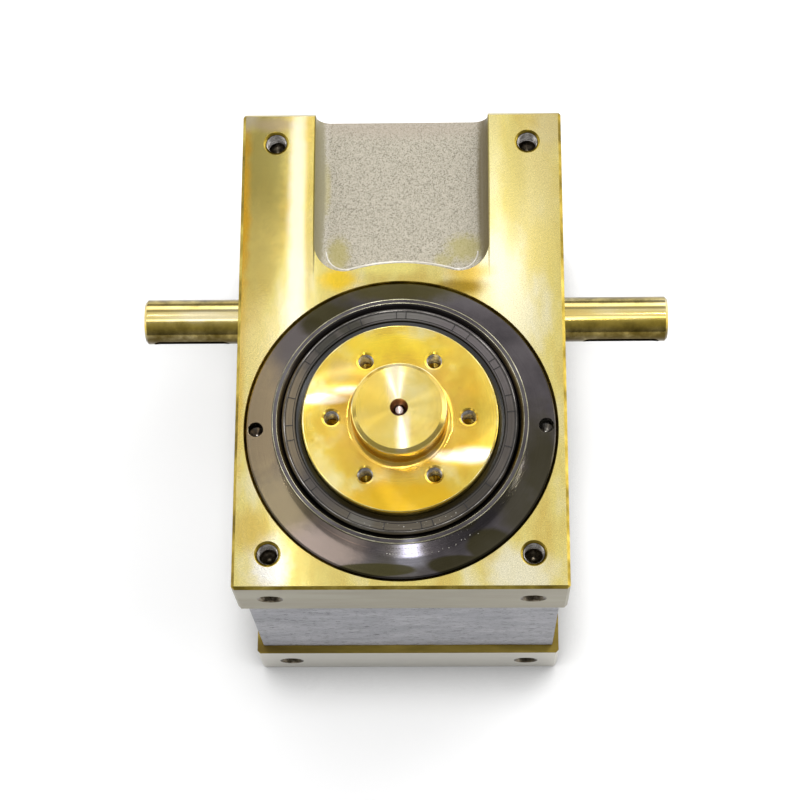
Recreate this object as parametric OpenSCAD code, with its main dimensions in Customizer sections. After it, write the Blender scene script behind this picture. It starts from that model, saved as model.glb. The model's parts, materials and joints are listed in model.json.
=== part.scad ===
// Roller gear cam indexer: an input shaft with a globoidal cam turns a turret of radial
// roller followers, which carries the output flange. Millimetres. +Z is the output axis,
// X runs along the input shaft, and the origin is on the output axis at the rear face.

/* [Case] */
// Width of the case, along the input shaft
case_w = 108; // [106:0.5:116]
// Distance from the output axis to the near end face
case_near = 53.5; // [53:0.5:60]
// Distance from the output axis to the far end face
case_far = 112.5; // [111:0.5:122]
// Height of the case from its rear face to its front face
case_h = 123; // [121:0.5:130]
// Height of the machined band below the front face
front_pad_h = 27; // [24:0.5:30]
// Height of the machined band above the rear face
rear_pad_h = 25; // [20:0.5:26]
// Depth of the cast skin below the machined pads at the two ends
end_relief = 3; // [1:0.5:3.5]
// Depth of the cast skin below the machined pads at the two sides
side_relief = 2.3; // [1:0.1:3]
// Chamfer along the machined edges
edge_chamfer = 1; // [0.5:0.1:1.5]

/* [Front recess] */
// Half width of the cast recess in the front face
recess_half_w = 29.2; // [25:0.1:31]
// Depth of the cast recess
recess_depth = 8; // [6:0.5:9]
// Radius of the arc that ends the recess, about the output axis
recess_arc_r = 57.5; // [56:0.5:62]
// Corner radius of the recess, seen from the front
recess_corner_r = 10; // [8:0.5:12]
// Fillet between the walls and the floor of the recess
recess_fillet_r = 5; // [3:0.5:6]

/* [Case mounting holes] */
// Wall radius of the M8 tapped holes
case_hole_r = 3.4; // [3.3:0.05:3.5]
// Mouth radius of the countersink of those holes
case_hole_mouth_r = 4.3; // [4:0.1:4.6]
// Half distance across between the holes in the case
case_hole_x = 42.5; // [42:0.1:43]
// Distance from the output axis to the near pair in the front face
face_hole_near = 42; // [41:0.5:42.5]
// Distance from the output axis to the far pair in the front face
face_hole_far = 101.5; // [100:0.5:102]
// Depth of the holes in the front face
face_hole_depth = 9.6; // [8:0.1:9.8]
// Distance from the front face to the upper pair in the near end face
end_hole_from_front = 14; // [14:0.5:16]
// Height of the lower pair in the near end face above the rear face
end_hole_from_rear = 12; // [10:0.5:14]
// Depth of the holes in the near end face
end_hole_depth = 12; // [10:0.5:13]

/* [Cam and followers] */
// Distance between the input axis and the output axis
centre_distance = 60; // [60:0.1:61]
// Number of followers on the turret, which is the number of stops
stops = 8; // [8:1:8]
// Outer radius of a follower roller
roller_r = 6.5; // [6:0.1:6.8]
// Radius of the turret at the seats of the followers
turret_r = 24; // [23.5:0.1:24.4]
// Radius from the output axis to the inner end of a roller
roller_start = 25.1; // [25:0.1:25.4]
// Length of a roller
roller_len = 10.8; // [10:0.1:11]
// Running gap between a roller and the flanks of the cam rib
cam_gap = 0.2; // [0.15:0.05:0.3]
// Gap between the roller ends and the floor of the cam groove
groove_floor_gap = 1.6; // [1.2:0.1:2]
// Outer radius to which the cam is turned
cam_r = 38.5; // [37:0.5:38.5]
// Step between the sections of the cam rib, in degrees of the cam's turn
rib_step = 6; // [4:1:8]
// Radius of the threaded shank of a follower stud
stud_shank_r = 3; // [2.5:0.1:3.2]
// Radius of the journal that carries a roller
stud_journal_r = 3.5; // [3.2:0.1:4]
// Radius of the head that keeps a roller on its stud
stud_head_r = 5; // [4.5:0.1:5.5]
// Thickness of that head
stud_head_t = 1.2; // [1:0.1:1.4]
// Radius of the set screws that lock the studs
set_screw_r = 2; // [1.5:0.1:2.2]

/* [Input shaft] */
// Radius of the two free ends of the input shaft
input_end_r = 8; // [7.5:0.1:8.1]
// Length of each free end beyond the side face
input_end_len = 39.2; // [36:0.1:44]
// Radius of the shaft under the lip of the oil seal
input_land_r = 8.5; // [8.2:0.1:8.8]
// Length of that seat beyond the side face
input_land_out = 0.4; // [0.2:0.1:1]
// Radius of the shaft under the cam
cam_seat_r = 12; // [11.5:0.1:12.5]
// Width of the keyways in the free ends
end_key_w = 5; // [4:0.1:6]
// Depth of the keyways in the free ends
end_key_depth = 3; // [2:0.1:3.5]
// Length of the keyways in the free ends
end_key_len = 27; // [20:0.5:30]
// Distance from the end of the shaft to its keyway
end_key_start = 2.8; // [2:0.1:4]
// Turn of the keyways about the shaft, below the near side
end_key_turn = 11; // [0:1:20]
// Chamfer at the ends of the input shaft
input_end_chamfer = 0.8; // [0.3:0.1:1.2]
// Width of the key that drives the cam
cam_key_w = 8; // [6:0.5:8]
// Height of that key
cam_key_h = 7; // [6:0.5:7]
// Length of that key
cam_key_len = 36; // [30:1:40]
// Length of the spacer between the cam and each bearing
spacer_len = 3; // [2.5:0.1:3.2]
// Outer radius of that spacer
spacer_r = 13.2; // [12.6:0.1:13.4]

/* [Input bearings] */
// Bore radius of an input bearing
input_brg_bore_r = 10; // [9.8:0.1:10.2]
// Outer radius of an input bearing
input_brg_r = 21; // [20.5:0.1:22]
// Width of an input bearing over both rings
input_brg_w = 15; // [14.5:0.1:15]
// Width of its outer ring
input_cup_w = 12; // [11:0.1:12.5]
// Number of its rollers
input_brg_rollers = 15; // [12:1:15]

/* [Input sleeves] */
// Radius of the eccentric sleeve in the case
sleeve_r = 40; // [39.5:0.1:40.5]
// Offset of the sleeve from the shaft axis, which sets the cam against the followers
sleeve_offset = 0.5; // [0:0.1:0.6]
// Radius of the flange of the sleeve
sleeve_flange_r = 47.5; // [47:0.1:48]
// Thickness of the flange of the sleeve
sleeve_flange_t = 8; // [7:0.1:9]
// Length by which the sleeve runs past the outer ring of its bearing
sleeve_lip = 1; // [0.5:0.1:1.5]
// Lead-in cone at the inner end of the sleeve, which also clears the followers
sleeve_lead = 3; // [2.8:0.1:4]
// Width of the oil seal on the input shaft
input_seal_w = 7; // [6:0.1:7.4]
// Outer radius of that oil seal
input_seal_r = 15; // [14:0.1:16]
// Depth of the outer face of that seal below the side face
input_seal_depth = 0.5; // [0.3:0.1:1]
// Gap between that oil seal and the shoulder of the sleeve behind it
input_seal_room = 1.5; // [1:0.1:2]
// Circle radius of the screws that hold the sleeve
sleeve_screw_circle_r = 43.9; // [43.8:0.1:44]
// Number of screws that hold each sleeve
sleeve_screws = 4; // [4:1:6]

/* [Output flange] */
// Radius of the output flange
flange_r = 31.5; // [31:0.1:32]
// Height of the flange face above the front face of the case
flange_rise = 11; // [10.5:0.1:13]
// Radius of the centring boss
boss_r = 15; // [14:0.1:16]
// Height of the boss above the flange face
boss_h = 10.6; // [9:0.1:14]
// Fillet at the foot of the boss
boss_fillet_r = 2.3; // [1.5:0.1:2.6]
// Chamfer at the top of the boss
boss_chamfer = 1.3; // [0.5:0.1:1.5]
// Wall radius of the M6 tapped holes in the flange
flange_hole_r = 2.5; // [2.4:0.05:2.6]
// Mouth radius of the countersink of those holes
flange_hole_mouth_r = 3.1; // [2.8:0.1:3.4]
// Pitch circle radius of those holes
flange_hole_circle_r = 22; // [21.5:0.1:23]
// Number of those holes
flange_holes = 6; // [4:1:8]
// Depth of those holes
flange_hole_depth = 11; // [9:0.5:12]
// Mouth radius of the centre hole in the boss
centre_hole_r = 2.9; // [2.5:0.1:3.2]

/* [Output shaft and turret] */
// Radius of the stem in the turret
stem_r = 14; // [13.5:0.1:14.5]
// Height of the tail of the stem above the rear face
tail_z = 12; // [11.5:0.1:12.5]
// Radius of the turret's upper hub, under the front bearing
upper_hub_r = 28; // [27.5:0.1:28.2]
// Radius of the turret's lower hub, above the rear bearing
lower_hub_r = 16.5; // [15.5:0.1:16.8]
// Half height of the turret around the followers
turret_half_h = 12; // [10:0.5:13]
// Distance from the follower axes up to the foot of the upper hub
upper_hub_rise = 17.5; // [17.5:0.5:20]
// Width of the key between the stem and the turret
turret_key_w = 8; // [6:0.5:8]
// Height of that key
turret_key_h = 7; // [6:0.5:7]
// Length of that key
turret_key_len = 14; // [10:0.5:15]
// Outer radius of the lock nut on the tail
locknut_r = 18.5; // [17.5:0.1:19]
// Thickness of the lock nut
locknut_t = 7; // [6:0.1:7.5]
// Thickness of the lock washer
lockwasher_t = 1.5; // [1:0.1:1.7]

/* [Front output bearing] */
// Bore radius of the front bearing
front_brg_bore_r = 25; // [24.6:0.1:25.4]
// Outer radius of the front bearing
front_brg_r = 40; // [39.6:0.1:40.4]
// Width of the front bearing over both rings
front_brg_w = 20; // [19:0.1:20.5]
// Width of its outer ring
front_cup_w = 15.5; // [15:0.1:16]
// Number of its rollers
front_brg_rollers = 22; // [18:1:22]
// Depth of its outer ring below the front face
front_cup_depth = 4.5; // [4:0.1:5]

/* [Rear output bearing] */
// Bore radius of the rear bearing
rear_brg_bore_r = 12.5; // [12:0.1:13]
// Outer radius of the rear bearing
rear_brg_r = 23.5; // [23:0.1:24]
// Width of the rear bearing over both rings
rear_brg_w = 15; // [14.5:0.1:15.5]
// Width of its outer ring
rear_cup_w = 11.5; // [11:0.1:12]
// Number of its rollers
rear_brg_rollers = 17; // [14:1:17]
// Height of its outer ring above the rear face
rear_cup_z = 22; // [21.8:0.1:23]

/* [Adjusting ring] */
// Outer radius of the adjusting ring
ring_r = 50.3; // [50:0.1:50.6]
// Height of the ring face above the front face of the case
ring_rise = 0.4; // [0.2:0.1:1]
// Outer radius of the raised collar
collar_r = 41.4; // [41:0.1:42]
// Height of the collar above the front face
collar_rise = 9.3; // [9:0.1:10]
// Width of the chamfer inside the collar
collar_bevel = 1.8; // [1:0.1:2]
// Radius of the spanner holes in the ring
spanner_hole_r = 2.5; // [2:0.1:2.5]
// Width of the rim left between a spanner hole and the edge of the ring
spanner_hole_rim = 0.6; // [0.5:0.1:2]
// Turn of the ring, and so of its spanner holes, about the output axis
ring_turn = 0.6; // [-5:0.1:5]
// Depth of the spanner holes
spanner_hole_depth = 7; // [5:0.5:9]
// Width of the dark gap around the ring at the front face
ring_mouth = 0.85; // [0.5:0.05:1]
// Outer radius of the front oil seal
front_seal_r = 38; // [37.8:0.1:38.2]
// Width of the front oil seal
front_seal_w = 9; // [8:0.1:9]
// Height of the front oil seal above the front face
front_seal_rise = 8.8; // [8.6:0.1:8.9]

/* [Rear cover] */
// Radius of the rear cover
rear_cover_r = 30; // [29.8:0.1:32]
// Thickness of the plate of the rear cover
rear_cover_t = 8; // [7.5:0.1:8.2]
// Length of the spigot of the rear cover
rear_spigot_len = 2.6; // [2:0.1:3]
// Radius of the opening for the lock nut
rear_opening_r = 20.5; // [20:0.1:20.8]
// Circle radius of the screws in the rear cover
rear_screw_circle_r = 25.2; // [25:0.1:25.4]
// Number of screws in the rear cover
rear_screws = 6; // [4:1:6]

/* [Screws] */
// Radius of the small cap screws
screw_r = 2; // [1.8:0.1:2.1]
// Radius of their heads
screw_head_r = 3.5; // [3.2:0.1:3.6]
// Height of their heads
screw_head_h = 4; // [3.5:0.1:4.2]
// Length of their shanks
screw_len = 11; // [9:0.5:12]
// Width of their hexagon sockets across flats
screw_socket = 3; // [2.5:0.1:3.2]
// Depth of their heads below the face
screw_sink = 0.5; // [0.3:0.1:0.6]

/* [Oil fittings] */
// Radius of the thread of the oil plugs
plug_r = 4.8; // [4.5:0.1:5.2]
// Radius of the flange of the oil plugs
plug_flange_r = 7; // [6.6:0.1:7.5]
// Thickness of the flange of the oil plugs
plug_flange_t = 2; // [1.5:0.1:2.2]
// Length of the thread of the oil plugs
plug_len = 8; // [6:0.5:9]
// Thickness of the sealing washers
washer_t = 0.8; // [0.5:0.1:0.9]
// Gap between the flange of a plug and the machined band beside it
plug_room = 0.5; // [0.3:0.1:3]
// Radius of the thread of the sight glass
sight_r = 8; // [7.5:0.1:8.5]
// Radius of the rim of the sight glass
sight_rim_r = 11; // [10.5:0.1:12]
// Height of the rim of the sight glass
sight_rim_t = 2; // [1.5:0.1:2.2]
// Length of the thread of the sight glass
sight_len = 7; // [6:0.1:7.5]

/* [O-rings] */
// Section radius of the O-rings
oring_r = 0.9; // [0.8:0.05:0.95]
// Width of the grooves for the O-rings
oring_groove_w = 2.4; // [2:0.1:2.8]

/* [Fits] */
// Radial gap of a fixed fit
seat_gap = 0.02; // [0.01:0.01:0.03]
// Radial gap of a running fit
run_gap = 0.04; // [0.02:0.01:0.06]
// Gap beside or above a piece that only has to clear
clear_gap = 0.3; // [0.2:0.05:0.4]

/* [Hidden] */
$fn = 72;

// Overshoot of a cut beyond the face that it leaves
over = 1;
// Depth of a countersink for each millimetre that it widens the mouth of a hole
countersink_slope = 0.45;
half_w = case_w / 2;
input_y = centre_distance;
input_z = case_h / 2;
sleeve_y = input_y - sleeve_offset;

// Followers and cam, measured from the output axis
follower_pitch = 360 / stops;
first_follower = 90 + follower_pitch / 2;
roller_end = roller_start + roller_len;
stud_end = roller_end + 0.1 + stud_head_t;
stud_root = stem_r + 1;
floor_r = stud_end + groove_floor_gap / 4;
rib_tip_r = roller_start + 1.4;
rib_root_r = floor_r + 1.2;
// Turn of the cam that carries the rib from one end of the cam to the other
rib_half_turn = 54 * stops;
shaft_half_len = half_w + input_end_len;

// Input bearing stack, measured from the middle of the shaft
input_seal_x = half_w - input_seal_depth - input_seal_w;
input_journal_x = input_seal_x - input_seal_room;
cup_end_x = input_journal_x - 1;
cone_x = cup_end_x - input_brg_w;
cam_len = 2 * (cone_x - spacer_len);
sleeve_len = half_w - cup_end_x + input_cup_w + sleeve_lip;
plug_spacing = input_z - front_pad_h - plug_flange_r - plug_room;

// Output stack, measured from the rear face
front_cup_z = case_h - front_cup_depth;
front_cone_z = front_cup_z - front_brg_w;
rear_cone_z = rear_cup_z + rear_brg_w;
ring_foot_z = front_cup_z - front_cup_w;
spanner_hole_x = ring_r - spanner_hole_r - spanner_hole_rim;
ring_oring_z = case_h + ring_rise - spanner_hole_depth - oring_groove_w;
chamber_r = stud_end + 1.3;
chamber_floor_z = rear_cone_z + 3;
flange_z = case_h + flange_rise;
boss_z = flange_z + boss_h;
locknut_z = rear_cup_z - lockwasher_t - locknut_t;
front_seal_z = case_h + front_seal_rise - front_seal_w;

// A tapered roller bearing as [bore radius, outer radius, width, cup width, rollers]
front_brg = [front_brg_bore_r, front_brg_r, front_brg_w, front_cup_w, front_brg_rollers];
rear_brg = [rear_brg_bore_r, rear_brg_r, rear_brg_w, rear_cup_w, rear_brg_rollers];
input_brg = [input_brg_bore_r, input_brg_r, input_brg_w, input_cup_w, input_brg_rollers];

// ---------------------------------------------------------------- shared shapes

// A ring or a disc from z0 to z1
module tube(r_out, r_in, z0, z1) {
  translate([0, 0, z0])
    difference() {
      cylinder(r = r_out, h = z1 - z0);
      if (r_in > 0)
        translate([0, 0, -over]) cylinder(r = r_in, h = z1 - z0 + 2 * over);
    }
}

// A disc from z0 to z1 with a chamfer c at both rims
module chamfered_disc(r, z0, z1, c) {
  rotate_extrude()
    polygon([[0, z0], [r - c, z0], [r, z0 + c], [r, z1 - c], [r - c, z1], [0, z1]]);
}

// A blind hole down from z = 0, with a countersunk mouth and a drill point
module tapped_hole(r, mouth_r, depth) {
  mouth = countersink_slope * (mouth_r - r);
  point = r * 0.577;
  rotate_extrude()
    polygon([
      [0, over], [mouth_r + over, over], [mouth_r, 0], [r, -mouth],
      [r, -depth + point], [0, -depth]
    ]);
}

// An O-ring about Z at height z, which lies against a bore of radius bore_r
module o_ring(bore_r, z) {
  translate([0, 0, z])
    rotate_extrude()
      translate([bore_r - oring_r - seat_gap, 0]) circle(r = oring_r, $fn = 24);
}

// The groove for that O-ring in a spigot that fits the same bore
module o_ring_groove(bore_r, z) {
  groove_r = bore_r - 2 * oring_r - 2 * seat_gap;
  tube(bore_r + over, groove_r, z - oring_groove_w / 2, z + oring_groove_w / 2);
}

// A cap screw that hangs down from z = 0, the top of its head
module cap_screw() {
  difference() {
    union() {
      translate([0, 0, -screw_head_h]) cylinder(r = screw_head_r, h = screw_head_h);
      translate([0, 0, -screw_head_h - screw_len]) cylinder(r = screw_r, h = screw_len + over / 2);
    }
    translate([0, 0, -screw_head_h / 2])
      cylinder(r = screw_socket / sqrt(3), h = screw_head_h, $fn = 6);
  }
}

// The counterbore and hole for a cap screw whose head lies screw_sink below z = 0
module cap_screw_hole() {
  head_depth = screw_sink + screw_head_h;
  translate([0, 0, -head_depth])
    cylinder(r = screw_head_r + clear_gap, h = head_depth + over);
  translate([0, 0, -head_depth - screw_len - over])
    cylinder(r = screw_r + seat_gap, h = screw_len + 2 * over);
}

// Copies a child n times around Z on a circle
module around(n, circle_r, start = 0) {
  for (i = [0 : n - 1])
    rotate([0, 0, start + i * 360 / n])
      translate([circle_r, 0, 0])
        children();
}

// A parallel key or its keyway along Z, with round ends, from y0 to y1
module round_key(w, len, y0, y1) {
  rotate([-90, 0, 0])
    translate([0, 0, y0])
      linear_extrude(y1 - y0) {
        square([w, len - w], center = true);
        for (s = [-1, 1])
          translate([0, s * (len - w) / 2]) circle(r = w / 2);
      }
}

// ---------------------------------------------------------------- tapered roller bearings
// Each bearing is drawn about Z with the back of its cup at z = 0 and its rollers below.
// The raceways are cones with one apex above the bearing.

function section_h(b) = b[1] - b[0];
function mid_z(b) = -b[2] / 2;
function cone_race_r(b) = b[0] + 0.27 * section_h(b);
function cup_race_r(b) = b[0] + 0.74 * section_h(b);
cup_angle = 15;
function apex_up(b) = cup_race_r(b) / tan(cup_angle);
function cone_angle(b) = atan(cone_race_r(b) / apex_up(b));
function tilt(b) = (cup_angle + cone_angle(b)) / 2;
function half_taper(b) = (cup_angle - cone_angle(b)) / 2;
function mid_s(b) = apex_up(b) / cos(tilt(b));
function half_len(b) = 0.34 * b[2];
// The point at distance s from the apex along the roller axis and p across it, as [r, z]
function race_point(b, s, p) = [
  s * sin(tilt(b)) + p * cos(tilt(b)),
  mid_z(b) + apex_up(b) - s * cos(tilt(b)) + p * sin(tilt(b))
];
function roller_r_at(b, s) = s * tan(half_taper(b));

module bearing_cup(b) {
  top_r = (mid_z(b) + apex_up(b)) * tan(cup_angle);
  foot_r = (mid_z(b) + apex_up(b) + b[3]) * tan(cup_angle);
  rotate_extrude()
    polygon([[top_r, 0], [b[1] - 0.5, 0], [b[1], -0.5], [b[1], -b[3] + 0.5], [b[1] - 0.5, -b[3]], [foot_r, -b[3]]]);
}

module bearing_cone(b) {
  rib_gap = 0.15;
  s_big = mid_s(b) + half_len(b) + rib_gap;
  s_small = mid_s(b) - half_len(b) - rib_gap;
  big = race_point(b, s_big, -roller_r_at(b, s_big));
  small = race_point(b, s_small, -roller_r_at(b, s_small));
  big_rib = race_point(b, s_big, -0.5 * roller_r_at(b, s_big));
  small_rib = race_point(b, s_small, -0.72 * roller_r_at(b, s_small));
  rotate_extrude()
    polygon([
      [b[0] + 0.5, 0], [small_rib[0], 0], small_rib, small, big, big_rib,
      [big_rib[0], -b[2]], [b[0] + 0.5, -b[2]], [b[0], -b[2] + 0.5], [b[0], -0.5]
    ]);
}

module bearing_rollers(b) {
  s_small = mid_s(b) - half_len(b);
  small_r = roller_r_at(b, s_small) - run_gap;
  big_r = roller_r_at(b, s_small + 2 * half_len(b)) - run_gap;
  for (i = [0 : b[4] - 1])
    rotate([0, 0, i * 360 / b[4]])
      translate([0, 0, mid_z(b) + apex_up(b)])
        rotate([0, 180 - tilt(b), 0])
          translate([0, 0, s_small])
            cylinder(r1 = small_r, r2 = big_r, h = 2 * half_len(b));
}

module bearing_cage(b) {
  wall = 0.13 * (b[1] - b[0]) / 2;
  inner_p = 0.22 * roller_r_at(b, mid_s(b));
  s0 = mid_s(b) - half_len(b) - 1.4;
  s1 = mid_s(b) + half_len(b) + 1.2;
  pocket_w = 2 * roller_r_at(b, mid_s(b) + half_len(b)) + 0.3;
  pocket_len = 2 * half_len(b) + 0.3;
  difference() {
    rotate_extrude()
      polygon([
        race_point(b, s0, inner_p), race_point(b, s0, inner_p + wall),
        race_point(b, s1, inner_p + wall), race_point(b, s1, inner_p)
      ]);
    for (i = [0 : b[4] - 1])
      rotate([0, 0, i * 360 / b[4]])
        translate([0, 0, mid_z(b) + apex_up(b)])
          rotate([0, 180 - tilt(b), 0])
            translate([-pocket_w / 2, -pocket_w / 2, mid_s(b) - pocket_len / 2])
              cube([pocket_w, pocket_w, pocket_len]);
  }
}

// Places a bearing at the front end, the rear end or one side of the input shaft
module at_front() { translate([0, 0, front_cup_z]) children(); }
module at_rear() { translate([0, 0, rear_cup_z]) rotate([180, 0, 0]) children(); }
module at_input(side) {
  translate([side * cup_end_x, input_y, input_z])
    rotate([0, side * 90, 0]) children();
}

// A frame on the side face of the case, with Z outwards, centred on the sleeve
module on_sleeve(side) {
  translate([side * half_w, sleeve_y, input_z])
    rotate([0, side * 90, 0]) children();
}

// ---------------------------------------------------------------- case

// A block whose four upright edges and whose front or rear rim are chamfered
module pad_block(z0, z1, rear_rim, front_rim) {
  length = case_near + case_far;
  mid_y = (case_far - case_near) / 2;
  c = edge_chamfer;
  intersection() {
    translate([0, 0, z0])
      linear_extrude(z1 - z0)
        polygon([
          [-half_w + c, -case_near], [half_w - c, -case_near], [half_w, -case_near + c],
          [half_w, case_far - c], [half_w - c, case_far], [-half_w + c, case_far],
          [-half_w, case_far - c], [-half_w, -case_near + c]
        ]);
    translate([0, mid_y, 0])
      rotate([90, 0, 0])
        linear_extrude(length + 2 * over, center = true)
          rim_outline(half_w, z0, z1, rear_rim, front_rim);
    rotate([90, 0, 90])
      linear_extrude(case_w + 2 * over, center = true)
        translate([mid_y, 0]) rim_outline(length / 2, z0, z1, rear_rim, front_rim);
  }
}

// A rectangle from z0 to z1 with chamfers at its rear and its front corners
module rim_outline(half, z0, z1, rear_rim, front_rim) {
  polygon([
    [-half + rear_rim, z0], [half - rear_rim, z0], [half, z0 + rear_rim],
    [half, z1 - front_rim], [half - front_rim, z1], [-half + front_rim, z1],
    [-half, z1 - front_rim], [-half, z0 + rear_rim]
  ]);
}

// Centre of the corner arc of the recess, which touches the side and the end arc
recess_corner_x = recess_half_w - recess_corner_r;
recess_corner_y = sqrt(pow(recess_arc_r + recess_corner_r, 2) - pow(recess_corner_x, 2));
// Angle at the output axis, from +Y, at which the corner arc meets the end arc
recess_meet = atan(recess_corner_x / recess_corner_y);

// The outline of the recess: a slot to the far end, outside the end arc
module recess_outline() {
  difference() {
    union() {
      translate([-recess_half_w, recess_corner_y])
        square([2 * recess_half_w, case_far + over - recess_corner_y]);
      for (s = [-1, 1])
        translate([s * recess_corner_x, recess_corner_y]) circle(r = recess_corner_r);
      polygon([
        [-recess_corner_x, recess_corner_y],
        [-recess_arc_r * sin(recess_meet), recess_arc_r * cos(recess_meet)],
        [0, recess_arc_r - 3 * over],
        [recess_arc_r * sin(recess_meet), recess_arc_r * cos(recess_meet)],
        [recess_corner_x, recess_corner_y], [0, recess_corner_y + over]
      ]);
    }
    circle(r = recess_arc_r, $fn = 180);
  }
}

// The metal between a wall at x = 0 and the floor at y = 0, bounded by a hollow fillet.
// The hollow lies towards +X for a side of 1 and towards -X for a side of -1.
module fillet_section(r, side) {
  difference() {
    translate([side > 0 ? -over : -r, -over]) square(r + over);
    translate([side * r, r]) circle(r = r);
  }
}

// The fillet around the floor of the recess, to be left in the cut
module recess_fillet() {
  f = recess_fillet_r;
  // The corner fillets are smaller by this much, so that each seam is a clean step
  fillet_step = 0.05;
  wall_len = case_far - recess_corner_y + 2 * over;
  corner_span = 90 + recess_meet;
  for (side = [-1, 1]) {
    translate([side * recess_half_w, recess_corner_y + wall_len, 0])
      rotate([90, 0, 0])
        linear_extrude(wall_len) fillet_section(f + fillet_step, -side);
    translate([side * recess_corner_x, recess_corner_y, 0])
      rotate([0, 0, side > 0 ? -corner_span : 180])
        rotate_extrude(angle = corner_span)
          translate([recess_corner_r, 0]) fillet_section(f, -1);
  }
  rotate([0, 0, 90 - recess_meet])
    rotate_extrude(angle = 2 * recess_meet, $fn = 180)
      translate([recess_arc_r, 0]) fillet_section(f + fillet_step, 1);
}

module recess_cut() {
  translate([0, 0, case_h - recess_depth])
    difference() {
      linear_extrude(recess_depth + over) recess_outline();
      recess_fillet();
    }
}

module case_bores() {
  // Thread of the adjusting ring, with its bevelled mouth
  mouth = ring_mouth;
  ring_bore_r = ring_r + run_gap;
  translate([0, 0, ring_foot_z - 0.4]) cylinder(r = ring_bore_r, h = case_h);
  translate([0, 0, case_h - mouth])
    cylinder(r1 = ring_bore_r, r2 = ring_bore_r + mouth + over, h = mouth + over);
  // Chamber of the turret, seat of the rear bearing, opening for the lock nut, cover seat
  translate([0, 0, chamber_floor_z]) cylinder(r = chamber_r, h = case_h);
  translate([0, 0, rear_cup_z]) cylinder(r = rear_brg_r + seat_gap, h = case_h / 2);
  translate([0, 0, -over]) cylinder(r = rear_opening_r, h = case_h / 2);
  translate([0, 0, -over]) cylinder(r = rear_cover_r + seat_gap, h = rear_cover_t + over);
  // Line bore for the cam and the two sleeves, with a seat for each flange
  translate([0, sleeve_y, input_z])
    rotate([0, 90, 0])
      cylinder(r = sleeve_r + seat_gap, h = case_w + 2 * over, center = true);
  for (side = [-1, 1])
    on_sleeve(side)
      translate([0, 0, -sleeve_flange_t])
        cylinder(r = sleeve_flange_r + seat_gap, h = sleeve_flange_t + over);
}

// A frame on the far end face, with Z outwards
module on_far_end(dz) {
  translate([0, case_far - end_relief, input_z + dz])
    rotate([-90, 0, 0]) children();
}

module case_holes() {
  for (x = [-case_hole_x, case_hole_x]) {
    for (y = [-face_hole_near, face_hole_far])
      translate([x, y, case_h]) tapped_hole(case_hole_r, case_hole_mouth_r, face_hole_depth);
    for (z = [end_hole_from_rear, case_h - end_hole_from_front])
      translate([x, -case_near, z])
        rotate([90, 0, 0]) tapped_hole(case_hole_r, case_hole_mouth_r, end_hole_depth);
  }
  for (side = [-1, 1])
    on_sleeve(side)
      around(sleeve_screws, sleeve_screw_circle_r, 45) cap_screw_hole();
  rotate([180, 0, 0])
    around(rear_screws, rear_screw_circle_r) cap_screw_hole();
  for (dz = [-plug_spacing, plug_spacing])
    on_far_end(dz)
      translate([0, 0, -case_far / 3]) cylinder(r = plug_r + seat_gap, h = case_far / 3 + over);
  on_far_end(0)
    translate([0, 0, -case_far / 4]) cylinder(r = sight_r + seat_gap, h = case_far / 4 + over);
}

module housing() {
  color("#d9c04a")
    difference() {
      union() {
        pad_block(0, rear_pad_h, edge_chamfer, 0);
        pad_block(case_h - front_pad_h, case_h, 0, edge_chamfer);
        translate([-half_w + side_relief, -case_near + end_relief, rear_pad_h - over])
          cube([
            case_w - 2 * side_relief,
            case_near + case_far - 2 * end_relief,
            case_h - front_pad_h - rear_pad_h + 2 * over
          ]);
      }
      recess_cut();
      case_bores();
      case_holes();
    }
}

// ---------------------------------------------------------------- front of the output

module adjusting_ring() {
  ring_z = case_h + ring_rise;
  collar_z = case_h + collar_rise;
  shoulder_r = flange_r + 3;
  rim = 0.5;
  color("#4a4648")
    difference() {
      rotate_extrude()
        polygon([
          [front_brg_r + seat_gap, ring_foot_z], [ring_r - rim, ring_foot_z],
          [ring_r, ring_foot_z + rim], [ring_r, ring_z - rim], [ring_r - rim, ring_z],
          [collar_r, ring_z], [collar_r, collar_z - rim], [collar_r - rim, collar_z],
          [front_seal_r + collar_bevel, collar_z],
          [front_seal_r + seat_gap, collar_z - collar_bevel * 0.8],
          [front_seal_r + seat_gap, front_seal_z], [shoulder_r, front_seal_z],
          [shoulder_r, front_cup_z], [front_brg_r + seat_gap, front_cup_z]
        ]);
      o_ring_groove(ring_r + run_gap, ring_oring_z);
      rotate([0, 0, ring_turn])
        around(2, spanner_hole_x)
          translate([0, 0, ring_z])
            tapped_hole(spanner_hole_r, spanner_hole_r + 0.1, spanner_hole_depth);
    }
}

module ring_oring() {
  color("#202020") o_ring(ring_r + run_gap, ring_oring_z);
}

// An oil seal about Z from z = 0 to its outer face at z = w, with a lip on the shaft
module oil_seal(r_out, shaft_r, w) {
  lip_r = shaft_r + run_gap;
  body_r = shaft_r + 0.36 * (r_out - shaft_r);
  rotate_extrude()
    polygon([
      [lip_r + 0.6, 0], [r_out - 0.4, 0], [r_out, 0.4], [r_out, w - 0.4], [r_out - 0.4, w],
      [body_r, w], [body_r - 0.3, w - 0.8], [lip_r + 0.35, w - 1.2], [lip_r, w - 1.9],
      [lip_r, w - 2.6], [lip_r + 0.9, w - 3.4], [lip_r + 0.9, 1.6], [lip_r, 0.9], [lip_r, 0.5]
    ]);
}

module front_seal() {
  color("#3a3734")
    translate([0, 0, front_seal_z]) oil_seal(front_seal_r, flange_r, front_seal_w);
}

module front_bearing_cup() { color("silver") at_front() bearing_cup(front_brg); }
module rear_bearing_cup() { color("silver") at_rear() bearing_cup(rear_brg); }

// ---------------------------------------------------------------- rear cover

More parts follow.
